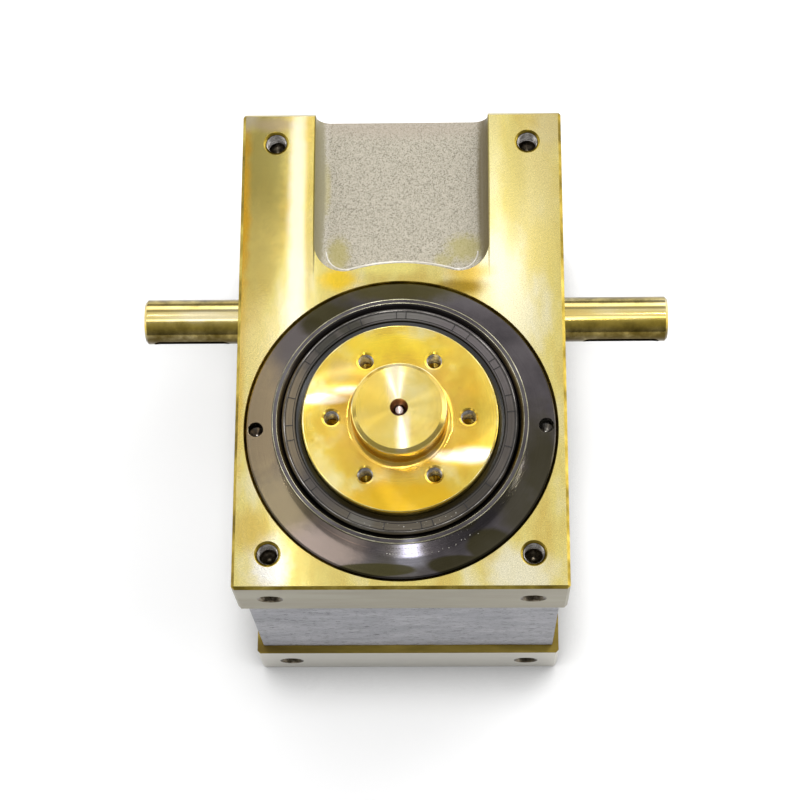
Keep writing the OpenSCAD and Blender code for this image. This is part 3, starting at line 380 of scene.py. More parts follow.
@dataclass(frozen=True)
class Finish:
    """A surface finish, made into one material the first time that it is asked for.

    Attributes:
        name: The real material and how its surface was made.
        thick: Colour of the lowest or thickest places.
        film: Colour of most of the surface.
        thin: Colour of the highest or thinnest places.
        metallic: 1 for bare metal, 0 for paint and rubber.
        roughness: Its middle value.
        blotch_mm: Size of the slow changes of colour.
        streak: How far these are drawn out along each axis.
        lay: The way of the tool marks.
        mark_mm: Distance between the tool marks.
        mark_depth: How strongly they darken the colour.
        bump: Strength of the relief.
        relief_mm: Height of the relief.
        brushed: Axis about which the marks run, which stretches highlights across them.
        drawn: How far highlights are stretched.
        patches: Spots of other colours.
    """

    name: str
    thick: str
    film: str
    thin: str
    metallic: float = 1.0
    roughness: float = 0.3
    blotch_mm: float = 12.0
    streak: tuple[float, float, float] = (1, 1, 1)
    lay: Lay = Lay.NONE
    mark_mm: float = 0.5
    mark_depth: float = 0.15
    bump: float = 0.1
    relief_mm: float = 0.05
    brushed: str = ""
    drawn: float = 0.0
    patches: tuple[Patch, ...] = ()

    def material(self) -> Any:
        """Returns the finish's material."""
        made = bpy.data.materials.get(self.name)
        if made:
            return made
        made = bpy.data.materials.new(self.name)
        tree = blank_tree(made)
        place = add(tree, "TexCoord").outputs["Object"]
        shader = add(tree, "BsdfPrincipled")
        self.dress(tree, place, shader)
        add(tree, "OutputMaterial", {"Surface": shader.outputs["BSDF"]})
        return made

    def dress(self, tree: Any, place: Any, shader: Any) -> None:
        """Fills in the shader.

        Args:
            tree: The material's node tree.
            place: The Object coordinates.
            shader: The Principled node.
        """
        blotch = grain(tree, place, self.blotch_mm, self.streak, 4.0, 0.55)
        film = add(tree, "ValToRGB", {"Fac": blotch}, stops=[
            (0.34, srgb(self.thick)), (0.5, srgb(self.film)), (0.66, srgb(self.thin)),
        ])
        colour = spread(tree, place, film.outputs["Color"], self.patches)
        tool = marks(tree, place, self.lay, self.mark_mm)
        tint = add(tree, "ValToRGB", {"Fac": tool}, stops=[
            (0.3, grey(1 - self.mark_depth)), (0.7, grey(1.0)),
        ])
        colour = add(tree, "Mix", {0: 1.0, MIX_A: colour, MIX_B: tint.outputs["Color"]},
                     data_type="RGBA", blend_type="MULTIPLY").outputs[MIX_RESULT]
        self.plug(tree, shader, colour, tool)
        shader.inputs["Metallic"].default_value = self.metallic
        if self.brushed:
            along = add(tree, "Tangent", direction_type="RADIAL", axis=self.brushed)
            tree.links.new(along.outputs[0], shader.inputs["Tangent"])
            shader.inputs["Anisotropic"].default_value = self.drawn

    def plug(self, tree: Any, shader: Any, colour: Any, relief: Any) -> None:
        """Links the colour to the shader, with the roughness and normal that a relief gives.

        Args:
            tree: The material's node tree.
            shader: The Principled node.
            colour: The colour socket.
            relief: The socket with the height of the marks or specks.
        """
        rough = add(tree, "MapRange", {
            "Value": relief, "To Min": 0.8 * self.roughness, "To Max": 1.2 * self.roughness,
        })
        raised = add(tree, "Bump", {
            "Height": relief, "Strength": self.bump, "Distance": self.relief_mm * MM,
        })
        for key, value in (("Base Color", colour), ("Roughness", rough.outputs[0]),
                           ("Normal", raised.outputs["Normal"])):
            tree.links.new(value, shader.inputs[key])


@dataclass(frozen=True)
class FacedFlange(Finish):
    """A turned face whose highlights swing round as the tool's feed changed along the radius.

    Attributes:
        boss_r: Radius of the boss, which was faced in a cut of its own, in millimetres.
        flange_r: Radius of the flange in millimetres.
        boss_swing: How far the highlights swing on the boss, in turns.
        foot_swing: How far they swing at the foot of the boss.
        rim_swing: How far they swing at the rim.
    """

    boss_r: float = 15.6
    flange_r: float = 31.5
    boss_swing: float = 0.44
    foot_swing: float = 0.345
    rim_swing: float = 0.25

    def dress(self, tree: Any, place: Any, shader: Any) -> None:
        """Fills in the shader and turns its highlights by the distance from the axis.

        Args:
            tree: The material's node tree.
            place: The Object coordinates.
            shader: The Principled node.
        """
        super().dress(tree, place, shader)
        at = add(tree, "Math", {0: from_axis(tree, place), 1: 1 / (self.flange_r * MM)},
                 operation="MULTIPLY", use_clamp=True).outputs[0]
        edge = self.boss_r / self.flange_r
        swing = add(tree, "ValToRGB", {"Fac": at}, stops=[
            (edge - 0.01, grey(self.boss_swing)), (edge + 0.01, grey(self.foot_swing)),
            (1.0, grey(self.rim_swing)),
        ])
        tree.links.new(swing.outputs["Color"], shader.inputs["Anisotropic Rotation"])


@dataclass(frozen=True)
class HammeredPaint(Finish):
    """Paint sprayed on a casting, which dries to a fine dark speckle under a thin gloss.

    Attributes:
        speck: Colour of the specks.
        speck_mm: Their size. Real ones are 0.1 to 0.2 mm, drawn coarser so that they show.
        torn_mm: Size of the bays in the edge of a stain.
        gloss: Weight of the gloss on top.
        gloss_roughness: Its roughness.
    """

    speck: str = "6f6857"
    speck_mm: float = 0.4
    # torn_mm: Size of the bays in the edge of a patch, both stains and painted shade.
    torn_mm: float = 1.6
    gloss: float = 0.35
    gloss_roughness: float = 0.2

    def dress(self, tree: Any, place: Any, shader: Any) -> None:
        """Fills in the shader with specks instead of tool marks.

        Args:
            tree: The material's node tree.
            place: The Object coordinates.
            shader: The Principled node.
        """
        specks = grain(tree, place, self.speck_mm, (1, 1, 1), 3.0, 0.75)
        paint = add(tree, "ValToRGB", {"Fac": specks}, stops=[
            (0.36, srgb(self.speck)), (0.45, srgb(self.thick)),
            (0.52, srgb(self.film)), (0.66, srgb(self.thin)),
        ])
        # The patches lay stains and painted shade over the paint.
        stains_and_shade = spread(tree, place, paint.outputs["Color"], self.patches, self.torn_mm)
        self.plug(tree, shader, stains_and_shade, specks)
        shader.inputs["Coat Weight"].default_value = self.gloss
        shader.inputs["Coat Roughness"].default_value = self.gloss_roughness


@dataclass(frozen=True)
class Glass(Finish):
    """Clear glass with the colour of the oil behind it.

    Attributes:
        ior: The index of refraction of window glass.
        clear: How much light goes through it.
    """

    ior: float = 1.5
    clear: float = 0.75

    def dress(self, tree: Any, place: Any, shader: Any) -> None:
        """Fills in the shader and lets light through.

        Args:
            tree: The material's node tree.
            place: The Object coordinates.
            shader: The Principled node.
        """
        super().dress(tree, place, shader)
        shader.inputs["IOR"].default_value = self.ior
        shader.inputs["Transmission Weight"].default_value = self.clear


# Height of the front face, and a half size that takes in the whole object, in millimetres.
FACE_Z = 123.0
ALL = 400.0

# Tool marks, grinding marks and sand grain are 0.02 to 0.2 mm in the real metal, too fine to
# show. mark_mm draws them 0.3 to 0.8 mm apart, as coarse as they need to be seen.

# Milled iron under a drying film of rust-preventing oil. The film makes the bare metal golden:
# lemon yellow, and orange where it ran to an edge. Most patches on it are painted light: an
# olive-to-cream painted reflection gradient, a cream-white painted highlight band, near-white
# painted highlights at the near corners and painted shade along the recess edges.
FRONT_FACE = Finish(
    "oiled milled front face", "dcc066", "ead984", "f2e9c0",
    roughness=0.17, blotch_mm=15.0, streak=(1, 3, 1), mark_mm=0.42, mark_depth=0.22, bump=0.05,
    relief_mm=0.03, brushed="X", drawn=0.8,
    patches=(
        *spots(FACE_Z, ALL, (
            # Left strip: painted reflection gradient from olive to cream, with orange oil along
            # the edge.
            (-46.5, 92.0, 8.5, 30.0, "a09250", 0.9),
            (-47.5, 60.0, 7.0, 18.0, "cab668", 0.7),
            (-53.6, 74.0, 2.6, 26.0, "d8a220", 0.85),
            (-53.4, 101.0, 2.4, 8.0, "c4962a", 0.7),
            (-53.8, 20.0, 2.4, 40.0, "e2b848", 0.7),
            (-45.5, 28.0, 7.5, 15.0, "f6e29c", 0.6),
            (-53.0, 111.0, 4.0, 4.5, "bdb298", 0.8),
            (-43.0, 108.5, 8.0, 2.6, "b8a484", 0.7),
            # Painted highlight: the cream-white band of a strip lamp's reflection.
            (-35.0, 74.0, 2.8, 52.0, "f8f0d4", 0.75),
            (-30.8, 74.0, 1.6, 26.0, "c8ae58", 0.6),
            # Right strip: mottled cream, a painted reflection of the lamps on the oil film.
            (30.5, 96.0, 3.0, 30.0, "eae0a4", 0.6),
            (31.0, 56.0, 6.0, 15.0, "f2eac8", 0.8),
            (45.0, 86.0, 7.0, 24.0, "f0e09c", 0.7),
            (50.0, 106.0, 5.0, 8.0, "e6d8a4", 0.6),
            (37.5, 88.0, 4.0, 22.0, "ddcc7c", 0.7),
            (47.0, 62.0, 5.0, 10.0, "f0dc84", 0.7),
            (-20.5, 51.5, 6.0, 4.0, "ffd634", 0.9),
            (20.0, 49.0, 8.0, 3.0, "9c7a14", 0.85),
            (22.0, 54.0, 7.0, 3.0, "e8c050", 0.7),
            (-4.0, 56.5, 11.0, 3.2, "fff08c", 0.85),
            # Painted highlights: near-white spots at the two near corners.
            (-42.0, -46.0, 5.5, 8.5, "fbf8f0", 0.95),
            (38.0, -48.0, 10.0, 7.0, "f4eed2", 0.8),
            (-48.0, -34.0, 6.0, 7.0, "d8b658", 0.6),
            # Painted shade: thin dark lines along the two edges of the recess.
            (-29.2, 90.0, 0.5, 34.0, "6f6426", 0.9, 0.2, 0.2),
            (29.2, 90.0, 0.45, 34.0, "7d7030", 0.8, 0.2, 0.2),
        )),
    ),
)
# Oil that ran to the chamfers and dried there: a thin olive line round the golden face, with a
# pale painted highlight along the far edge.
EDGE_OIL_AND_HIGHLIGHT = Finish(
    "oil run to the machined edges with painted highlight", "7d6a22", "b39a3c", "d9c15c",
    blotch_mm=9.0, mark_mm=0.8, mark_depth=0.2,
    patches=(
        # Painted highlight: a pale line along the far edge's chamfer.
        Patch((0.0, 112.6, 122.6), (60.0, 1.3, 3.0), "d6d0b0", 0.9, 0.2, 0.2),
    ),
)
# Turned steel under the same film: rings that the eye can just see, and bright wedges, which the
# lamps draw and pale patches paint over as painted highlights. Other patches paint olive shade
# beside them, a highlight along the near rim, light on the boss and shade in the centre hole.
TURNED_GOLD = FacedFlange(
    "oiled turned flange", "dcb644", "e8ca58", "f0e09c",
    roughness=0.19, blotch_mm=15.0, lay=Lay.RINGS, mark_mm=0.3, mark_depth=0.1, bump=0.05,
    relief_mm=0.02, brushed="Z", drawn=1.0,
    patches=(
        *spots(134.0, 3.0, (
            # Painted highlight: bright orange-gold along the flange's near rim.
            (0.0, -27.5, 20.0, 6.0, "f2c22c", 0.85, 0.3),
            (-2.0, 22.0, 15.0, 7.0, "ffe048", 0.85, 0.3),
            # Painted shade: olive beside the wedges.
            (-18.5, 5.0, 4.5, 4.0, "b08c28", 0.7),
            (21.0, 2.0, 6.5, 5.0, "b8a03e", 0.7),
            # Painted highlights: the pale wedges on the flange.
            (-24.5, 6.4, 7.0, 1.7, "f8f2dc", 0.9, 0.5, 0.3),
            (-16.5, 9.2, 4.5, 1.5, "f8f2dc", 0.85, 0.5, 0.3),
            (14.0, -12.9, 5.0, 1.9, "f8f2dc", 0.85, 0.5, 0.3),
            (23.0, -12.8, 7.0, 2.6, "f8f2dc", 0.9, 0.5, 0.3),
        )),
        # Painted light: the boss made lighter.
        Patch((0.0, 0.0, 139.0), (17.5, 17.5, 9.0), "f4e094", 0.6),
        *spots(144.6, 2.0, (
            (-8.5, 0.0, 6.5, 9.0, "f2cc4c", 0.6),
            # Painted highlights: the pale upright wedges on the boss.
            (-1.2, 9.0, 2.6, 8.0, "faf4e6", 0.55),
            (1.2, -9.0, 2.2, 8.0, "faf4e6", 0.5),
        )),
        Patch((-19.3, 15.5, 134.0), (4.0, 4.0, 3.0), "ccb87c", 0.6),
        Patch((0.0, 0.0, 134.0), (20.5, 20.5, 2.2), "d99a14", 0.6),
        # Painted shade inside the centre hole, with a painted silver glint at its middle.
        Patch((0.0, 0.0, 140.0), (2.7, 2.7, ALL), "96705c", 0.9, 0.1, 0.0),
        Patch((0.0, 0.0, 134.0), (1.3, 1.3, ALL), "e2d8d6", 0.9, 0.2, 0.0),
    ),
)
# Ground shaft steel: a mirror for the room, gold. Its patches are painted reflections: dark
# olive-brown bands along its far top and its near lower side, and a yellow band next to the near
# one.
SHAFT_GOLD = Finish(
    "oiled ground shaft steel", "d8bc6a", "e4cf86", "f0e2b4",
    roughness=0.13, blotch_mm=7.0, streak=(6, 1, 1), lay=Lay.HOOPS, mark_mm=0.3, mark_depth=0.05,
    bump=0.03, relief_mm=0.02,
    patches=(
        *spots(60.5, ALL, (
            # Painted reflections: a yellow band and two dark olive-brown bands along the shaft.
            (0.0, 55.8, ALL, 1.6, "e6c84a", 0.7),
            (0.0, 49.0, ALL, 5.8, "4c3e10", 0.98),
            (0.0, 70.5, ALL, 5.7, "463e1a", 0.98),
        )),
    ),
)
# Sprayed casting paint: warm beige peppered with dark specks, stained yellow by the oil, and
# darkened down the recess's side walls as painted shade.
PAINT = HammeredPaint(
    "sprayed casting paint", "aaa390", "bfb7a4", "cfc8b8",
    metallic=0.0, roughness=0.45, bump=0.3, relief_mm=0.1,
    patches=(
        *spots(115.0, ALL, (
            (-26.0, 88.0, 1.6, 9.0, "b3a65a", 0.6),
            (-21.5, 64.0, 3.5, 5.5, "aea148", 0.7),
            (21.5, 66.0, 6.0, 4.5, "b2a64e", 0.65),
            (14.0, 61.5, 3.0, 2.5, "b2a64e", 0.5),
            (0.0, 112.0, 30.0, 5.0, "b7a897", 0.5),
        )),
        *spots(118.0, ALL, (
            # Painted shade: olive-dark bands down the recess's two side walls.
            (-28.6, 88.0, 2.6, 34.0, "8c8460", 0.85, 0.3, 0.4),
            (28.6, 88.0, 3.0, 34.0, "6c5e36", 0.9, 0.3, 0.4),
        )),
    ),
)
# Ground iron without oil: smooth warm grey, a little brown where hands touched it. The rear pad
# by the floor is painted much lighter, as painted light.
PAD_GREY = Finish(
    "ground grey iron", "888069", "908973", "9a947f",
    metallic=0.5, roughness=0.4, streak=(4, 4, 1), lay=Lay.LEVEL, mark_mm=0.4, mark_depth=0.1,
    bump=0.08,
    patches=(
        # Painted light: the rear pad made much lighter.
        Patch((0.0, 0.0, 10.0), (ALL, ALL, 18.0), "d6d3ca", 0.9, 0.2, 0.2),
    ),
)
# The step above the rear pad, milled under the oil film: painted olive brown with a gold rim,
# as the shade that falls on it.
LEDGE_SHADE = Finish(
    "milled ledge painted dark as shade", "6a5822", "86742f", "ab9548",
    metallic=0.8, roughness=0.35, blotch_mm=9.0, streak=(5, 1, 1), lay=Lay.LEVEL, mark_mm=0.6,
)
# Sand-cast skin under thin grey paint: dull, pitted, and scratched along its length.
CAST_SKIN = Finish(
    "painted cast skin", "a3a3a8", "aeaeb3", "bababe",
    metallic=0.1, roughness=0.6, blotch_mm=5.0, streak=(3, 3, 1), lay=Lay.DRAWN, mark_depth=0.75,
    bump=0.5, relief_mm=0.15,
)
# The wall of a tapped hole: cut iron, painted dark brown as the shade inside the hole.
BORE_STEEL = Finish("tapped bore wall", "3a342a", "5a5244", "857c6c", blotch_mm=2.0)
# Bored iron inside the case, wet with oil: dark and half matt.
INSIDE_IRON = Finish(
    "bored iron inside the case", "635f55", "7d786c", "918c80",
    metallic=0.6, roughness=0.5,
)
# Blackened ring steel under oil: gunmetal. Its patches are mostly painted reflections: lighter
# taupe on the left over some worn blackening, olive at the top and along the near side, darker on
# the right, a dark painted reflection on the collar's walls with one painted highlight, and
# painted light in the two spanner holes.
RING_BLACK = Finish(
    "blackened oiled ring steel", "464244", "575254", "646061",
    roughness=0.17, blotch_mm=16.0, lay=Lay.RINGS, mark_depth=0.08, bump=0.04, relief_mm=0.02,
    brushed="Z", drawn=0.5,
    patches=(
        *spots(123.4, 3.0, (
            # Painted reflection: lighter taupe on the left, over some worn blackening.
            (-46.0, 3.0, 8.5, 28.0, "8e7e64", 0.95),
            (-38.0, -27.0, 11.0, 13.0, "94866a", 0.9),
            (-25.0, -40.0, 12.0, 8.0, "a6968c", 0.9),
            # Painted reflections: darker grey and olive at the top.
            (-36.0, 30.0, 7.0, 9.0, "5c5654", 0.8),
            (-24.0, 39.0, 8.0, 6.0, "3d3920", 0.9),
            (-30.0, 35.5, 3.5, 3.0, "34301a", 0.8),
            (0.0, 47.5, 20.0, 4.0, "4e4826", 0.85),
            # Painted highlight: grey-white at the bottom, on darker gunmetal.
            (0.0, -46.0, 9.0, 6.0, "5a5650", 0.8),
            (3.0, -44.0, 5.0, 4.0, "8e8c94", 0.8),
            # Painted reflections: dark olive arcs along the near side and on the right.
            (-8.5, -47.4, 14.0, 2.1, "464226", 0.9, 0.12, 0.2),
            (19.0, -45.9, 10.5, 3.2, "35311a", 0.85, 0.12, 0.2),
            (29.0, -39.5, 8.0, 5.5, "3a3620", 0.85, 0.15, 0.3),
            (45.0, -14.0, 6.0, 18.0, "403c2a", 0.85),
        )),
        # Painted dark reflection on the collar's walls, with a painted highlight on the near
        # side.
        Patch((0.0, 0.0, 127.9), (ALL, ALL, 4.0), "1e1b1a", 0.92, 0.05, 0.0),
        Patch((3.5, -41.4, 127.9), (3.4, 3.0, 5.5), "a09eaa", 0.9, 0.4, 0.1),
        # Painted light inside the two spanner holes.
        *spots(118.6, 2.6, (
            (-47.2, 0.0, 3.0, 3.0, "8e8a86", 0.9, 0.1, 0.0),
            (47.2, 0.0, 3.0, 3.0, "c8c5be", 0.9, 0.1, 0.0),
        )),
        # Painted shade: darker on the lower right.
        Patch((38.0, -27.0, 123.4), (6.0, 12.0, 3.0), "464233", 0.8),
    ),
)
# Nitrile rubber wet with dark oil: brown-grey face, lighter on the right.
SEAL = Finish(
    "oily seal rubber", "141210", "1b1917", "24211e",
    metallic=0.0, roughness=0.22, blotch_mm=7.0, lay=Lay.RINGS, mark_depth=0.2, bump=0.2,
    patches=(
        *spots(131.8, ALL, (
            (0.0, 0.0, 37.1, 37.1, "4a423b", 1.0, 0.012, 0.0),
            (18.0, 26.0, 22.0, 20.0, "686162", 0.8),
            (0.0, 35.5, 12.0, 4.0, "74726c", 0.6),
            (-24.0, 26.0, 4.0, 5.0, "23200c", 0.8, 0.3),
            (-16.0, 31.5, 4.5, 3.0, "2a2712", 0.8, 0.3),
            (-35.0, 0.0, 5.0, 20.0, "7e6e52", 0.85),
            (0.0, -35.0, 30.0, 8.0, "5a5140", 0.85),
            (-12.0, -33.0, 4.0, 3.5, "6a675f", 0.7, 0.3),
            (24.0, -24.0, 10.0, 9.0, "2c2416", 0.9),
            (30.0, -16.0, 4.0, 5.0, "544c44", 0.7, 0.3),
            (0.0, 0.0, 34.0, 34.0, "0e0d0c", 1.0, 0.012, 0.0),
        )),
    ),
)
# The seal's moulded ribs, where dark oil stays: thin black lines on its face.
RIB = Finish(
    "oily rib of the seal", "171412", "211d1a", "2e2925",
    metallic=0.0, roughness=0.25, blotch_mm=3.0,
)
# Steel blackened in hot salts: charcoal with a soft gleam.
DARK_STEEL = Finish(
    "blackened sleeve steel", "52514f", "575654", "5d5b58",
    roughness=0.34, blotch_mm=8.0, mark_mm=0.4,
)
# Black oxide screws: nearly black, with lighter worn corners.
SCREW_BLACK = Finish(
    "black oxide screw", "1f1f21", "2f2f31", "454547",
    roughness=0.32, blotch_mm=3.0,
)
# Turned fittings in bright steel: silver with a warm cast of oil.
GREY_STEEL = Finish(
    "bright fitting steel", "908d83", "a8a59b", "c0bdb4",
    roughness=0.28, blotch_mm=6.0,
)
# Ground bearing rings and rollers: the brightest metal, a cool mirror.
RACE_STEEL = Finish(
    "ground bearing steel", "a0a1a3", "b6b7b8", "c9cacb",
    roughness=0.15, blotch_mm=6.0,
)
# Hardened cam and turret steel: silver grey with straw tints from the heat.
CAM_STEEL = Finish(
    "hardened cam steel", "8d867a", "a8a49b", "bdbab3",
    roughness=0.22, blotch_mm=8.0,
)
# Pressed cage steel: pale bronze from the pressing oil.
CAGE = Finish("pressed steel cage", "7d673c", "98804e", "ad955f", roughness=0.34, blotch_mm=5.0)
# Annealed copper washers: salmon with brown tarnish.
COPPER = Finish("soft copper washer", "8f5636", "ad6a43", "c8835a", roughness=0.34, blotch_mm=3.0)
# Moulded O-ring rubber: black and half matt.
ORING = Finish(
    "O-ring rubber", "121212", "1b1b1b", "262626",
    metallic=0.0, roughness=0.45, blotch_mm=3.0,
)
# Cut thread: bright flanks that catch the light, with dark oil between them.
THREAD_STEEL = Finish("cut thread", "96908a", "bdb8b2", "e0dcd6", roughness=0.28, blotch_mm=1.5)
# The same thread low on the case, painted dark brown as the shade inside the holes.
SHADED_THREAD = Finish(
    "cut thread painted dark as shade", "2f281c", "4a4030", "6c604a",
    metallic=0.9, blotch_mm=1.5,
)
# The flange's rim, cleaned by handling: bare straw-coloured steel.
EDGE_GLINT = Finish(
    "rubbed corner of oiled steel", "c9b050", "e6d488", "f4eac0",
    roughness=0.2, blotch_mm=9.0,
)
# Corners of the blackened steel, rubbed bright: hairlines of light round the ring.
WORN_BLACK = Finish(
    "rubbed corner of blackened steel", "77735f", "9c9880", "c8c4ac",
    roughness=0.22, blotch_mm=9.0,
)
# Seal rubber where the oil stands on a corner: a thin wet gleam.
WET_RUBBER = Finish(
    "wet corner of the seal", "4e4a46", "74706b", "9c9893",
    metallic=0.9, roughness=0.16, blotch_mm=6.0,
)
# A thin, nearly white bead of glossy paint: a painted highlight along the recess's fillet.
WHITE_HIGHLIGHT_BEAD = Finish(
    "near-white painted highlight bead", "e2dccd", "eee9dd", "f8f5ec",
    metallic=0.0, roughness=0.12, blotch_mm=3.0,
)
# Beads of fresh oil at the foot of the collar: wet specks, coloured near white as a painted
# glint.
OIL_BEAD_GLINT = Finish(
    "bead of fresh oil with painted glint", "b8b4a4", "cfccc0", "e8e6dd",
    metallic=0.2, roughness=0.08, blotch_mm=1.0,
)
# Oil behind the sight glass: straw yellow.
SIGHT = Glass(
    "sight glass", "cdbf70", "ddd28e", "ebe4b8",
    metallic=0.0, roughness=0.06, blotch_mm=4.0,
)

SLOT_FINISH: dict[str, Finish] = {
    "gold_steel": TURNED_GOLD,
    "black_steel": DARK_STEEL,
    "grey_steel": GREY_STEEL,
    "bearing_steel": RACE_STEEL,
    "cage_steel": CAGE,
    "screw_steel": SCREW_BLACK,
    "seal_rubber": SEAL,
    "oring_rubber": ORING,
    "copper_washer": COPPER,
    "clear_window": SIGHT,
    "cam_steel": CAM_STEEL,
}
NODE_FINISH: dict[str, Finish] = {
    "adjusting_ring": RING_BLACK,
    "input_shaft": SHAFT_GOLD,
}


# ------------------------------------------------------------------ the case


class Zone(Enum):
    """The finishes on the one casting."""

    FRONT = 0
    EDGE = 1
    RECESS = 2
    PAD = 3
    LEDGE = 4
    SKIN = 5
    BORE = 6
    INSIDE = 7


@dataclass
class Case:
    """The cast case, whose machined, painted and cast faces each get their own finish.

    Attributes:
        front_pad: Height of the machined band below the front face.
        rear_pad: Height of the machined band above the rear face.
        end_relief: Depth of the cast skin below the pads at the ends.
        side_relief: Depth of the cast skin below the pads at the sides.
        recess_half_w: Half width of the painted recess.
        recess_arc_r: Radius of the arc that ends the recess.
        recess_depth: Depth of the recess below the front face, with its fillet.
        hole_mouth_r: Mouth radius of the tapped holes.
        front_hole_depth: Depth of the holes in the front face.
        end_hole_depth: Depth of the holes in the near end.
        hole_lip: How far the oil has run into the holes of the front face.
        edge_lip: How far the oil has run over the edges of the front face.
        hair: How far a face may lie off a plane and still belong to it.
        weld: How far apart points may lie that are merged.
        finishes: The finish of each zone.
    """

    front_pad: float = 27.0 * MM
    rear_pad: float = 25.0 * MM
    end_relief: float = 3.0 * MM
    side_relief: float = 2.3 * MM
    recess_half_w: float = 29.2 * MM
    recess_arc_r: float = 57.5 * MM
    recess_depth: float = 8.2 * MM
    hole_mouth_r: float = 4.3 * MM
    front_hole_depth: float = 11.0 * MM
    end_hole_depth: float = 13.0 * MM
    hole_lip: float = 0.85 * MM
    edge_lip: float = 1.05 * MM
    hair: float = 0.05 * MM
    weld: float = 0.002 * MM
    finishes: dict[Zone, Finish] = field(default_factory=lambda: {
        Zone.FRONT: FRONT_FACE, Zone.EDGE: EDGE_OIL_AND_HIGHLIGHT, Zone.RECESS: PAINT, Zone.PAD: PAD_GREY,
        Zone.LEDGE: LEDGE_SHADE, Zone.SKIN: CAST_SKIN, Zone.BORE: BORE_STEEL,
        Zone.INSIDE: INSIDE_IRON,
    })

    def __post_init__(self) -> None:
        """Reads the case's corners and its hole places from the frame."""
        self.low, self.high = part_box("housing")
        mounts = {m["name"]: m for m in frame["record"]["mounts"]}
        self.hole_r = mounts["front_face_holes"]["dims"]["hole_r_mm"] * MM
        self.front_holes = self.pattern(mounts["front_face_holes"], Vector((0, 1, 0)))
        self.end_holes = self.pattern(mounts["near_end_holes"], Vector((0, 0, 1)))

    @staticmethod
    def pattern(mount: dict[str, Any], up: Vector) -> list[Vector]:
        """Gives the centres of a rectangle of four holes.

        Args:
            mount: The record's mount.
            up: The direction of its second spacing.

        Returns:
            Four points on the face.
        """
        middle = Vector(mount["pos_m"])
        across = Vector((mount["dims"]["spacing_x_mm"] * MM / 2, 0, 0))
        along = up * mount["dims"]["spacing_y_mm"] * MM / 2
        return [middle + a * across + b * along for a in (-1, 1) for b in (-1, 1)]

    def in_hole(self, point: Vector) -> bool:
        """Tells whether a point lies in or at the mouth of a tapped hole.

        Args:
            point: The middle of a face.

        Returns:
            True if it does.
        """
        reach = self.hole_mouth_r + self.hair
        if point.z > self.high.z - self.front_hole_depth:
            if any(math.hypot(point.x - c.x, point.y - c.y) < reach for c in self.front_holes):
                return True
        if point.y < self.low.y + self.end_hole_depth:
            return any(math.hypot(point.x - c.x, point.z - c.z) < reach for c in self.end_holes)
        return False

    def zone_of(self, point: Vector, normal: Vector) -> Zone:
        """Sorts a face by its place and direction.

        Args:
            point: The face's middle.
            normal: The face's direction.

        Returns:
            The zone that it belongs to.
        """
        low, high, hair = self.low, self.high, self.hair
        outside = (
            abs(point.x) > high.x - self.side_relief - hair
            or point.y < low.y + self.end_relief + hair
            or point.y > high.y - self.end_relief - hair
            or point.z < hair
        )
        below_face = high.z - point.z
        if self.in_hole(point):
            if abs(normal.z) > 0.999 and below_face < hair:
                return Zone.FRONT
            return Zone.EDGE if below_face < self.hole_lip else Zone.BORE
        if below_face < hair:
            return Zone.FRONT
        chamfered = 0.3 < normal.z < 0.95
        if below_face < self.edge_lip and (outside or chamfered):
            return Zone.EDGE
        if self.in_recess(point):
            return Zone.RECESS
        if outside:
            return self.outer_zone(point, normal)
        return Zone.INSIDE

    def in_recess(self, point: Vector) -> bool:
        """Tells whether a point is on the walls or the floor of the painted recess.

        Args:
            point: The middle of a face.

        Returns:
            True if it is.
        """
        beyond = math.hypot(point.x, point.y) > self.recess_arc_r - 2 * self.hair
        return (
            point.z > self.high.z - self.recess_depth and beyond and point.y > 0
            and abs(point.x) < self.recess_half_w + 2 * self.hair
        )

    def outer_zone(self, point: Vector, normal: Vector) -> Zone:
        """Sorts a face on the outside of the case, below the front face.

        Args:
            point: The face's middle.
            normal: The face's direction.

        Returns:
            The zone that it belongs to.
        """
        skin_low = self.low.z + self.rear_pad
        skin_high = self.high.z - self.front_pad
        if skin_low + self.hair < point.z < skin_high - self.hair:
            return Zone.SKIN
        if abs(point.z - skin_low) < self.hair and normal.z > 0.9:
            return Zone.LEDGE
        if abs(point.z - skin_high) < self.hair:
            return Zone.SKIN
        return Zone.PAD

    def build(self) -> None:
        """Copies the casting's mesh, merges it and gives each face its zone's finish."""
        bm = bmesh.new()
        bm.from_mesh(frame["nodes"]["housing"].data)
        bmesh.ops.remove_doubles(bm, verts=bm.verts, dist=self.weld)
        for face in bm.faces:
            face.material_index = self.zone_of(face.calc_center_median(), face.normal).value
        casting = placed("case_casting", bm)
        mesh = casting.data
        for zone in Zone:
            mesh.materials.append(self.finishes[zone].material())
        mesh.shade_smooth()
        mesh.set_sharp_from_angle(angle=math.radians(CASTING_CREASE_DEG))
        # Faces square to an axis are flat, so that long triangles don't shade as if bent.
        for polygon in mesh.polygons:
            polygon.use_smooth = max(abs(c) for c in polygon.normal) < 0.9999
        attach(casting, "case")
        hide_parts("housing")
        log.info("case_casting: %d faces", len(mesh.polygons))


# ------------------------------------------------------------------ threads


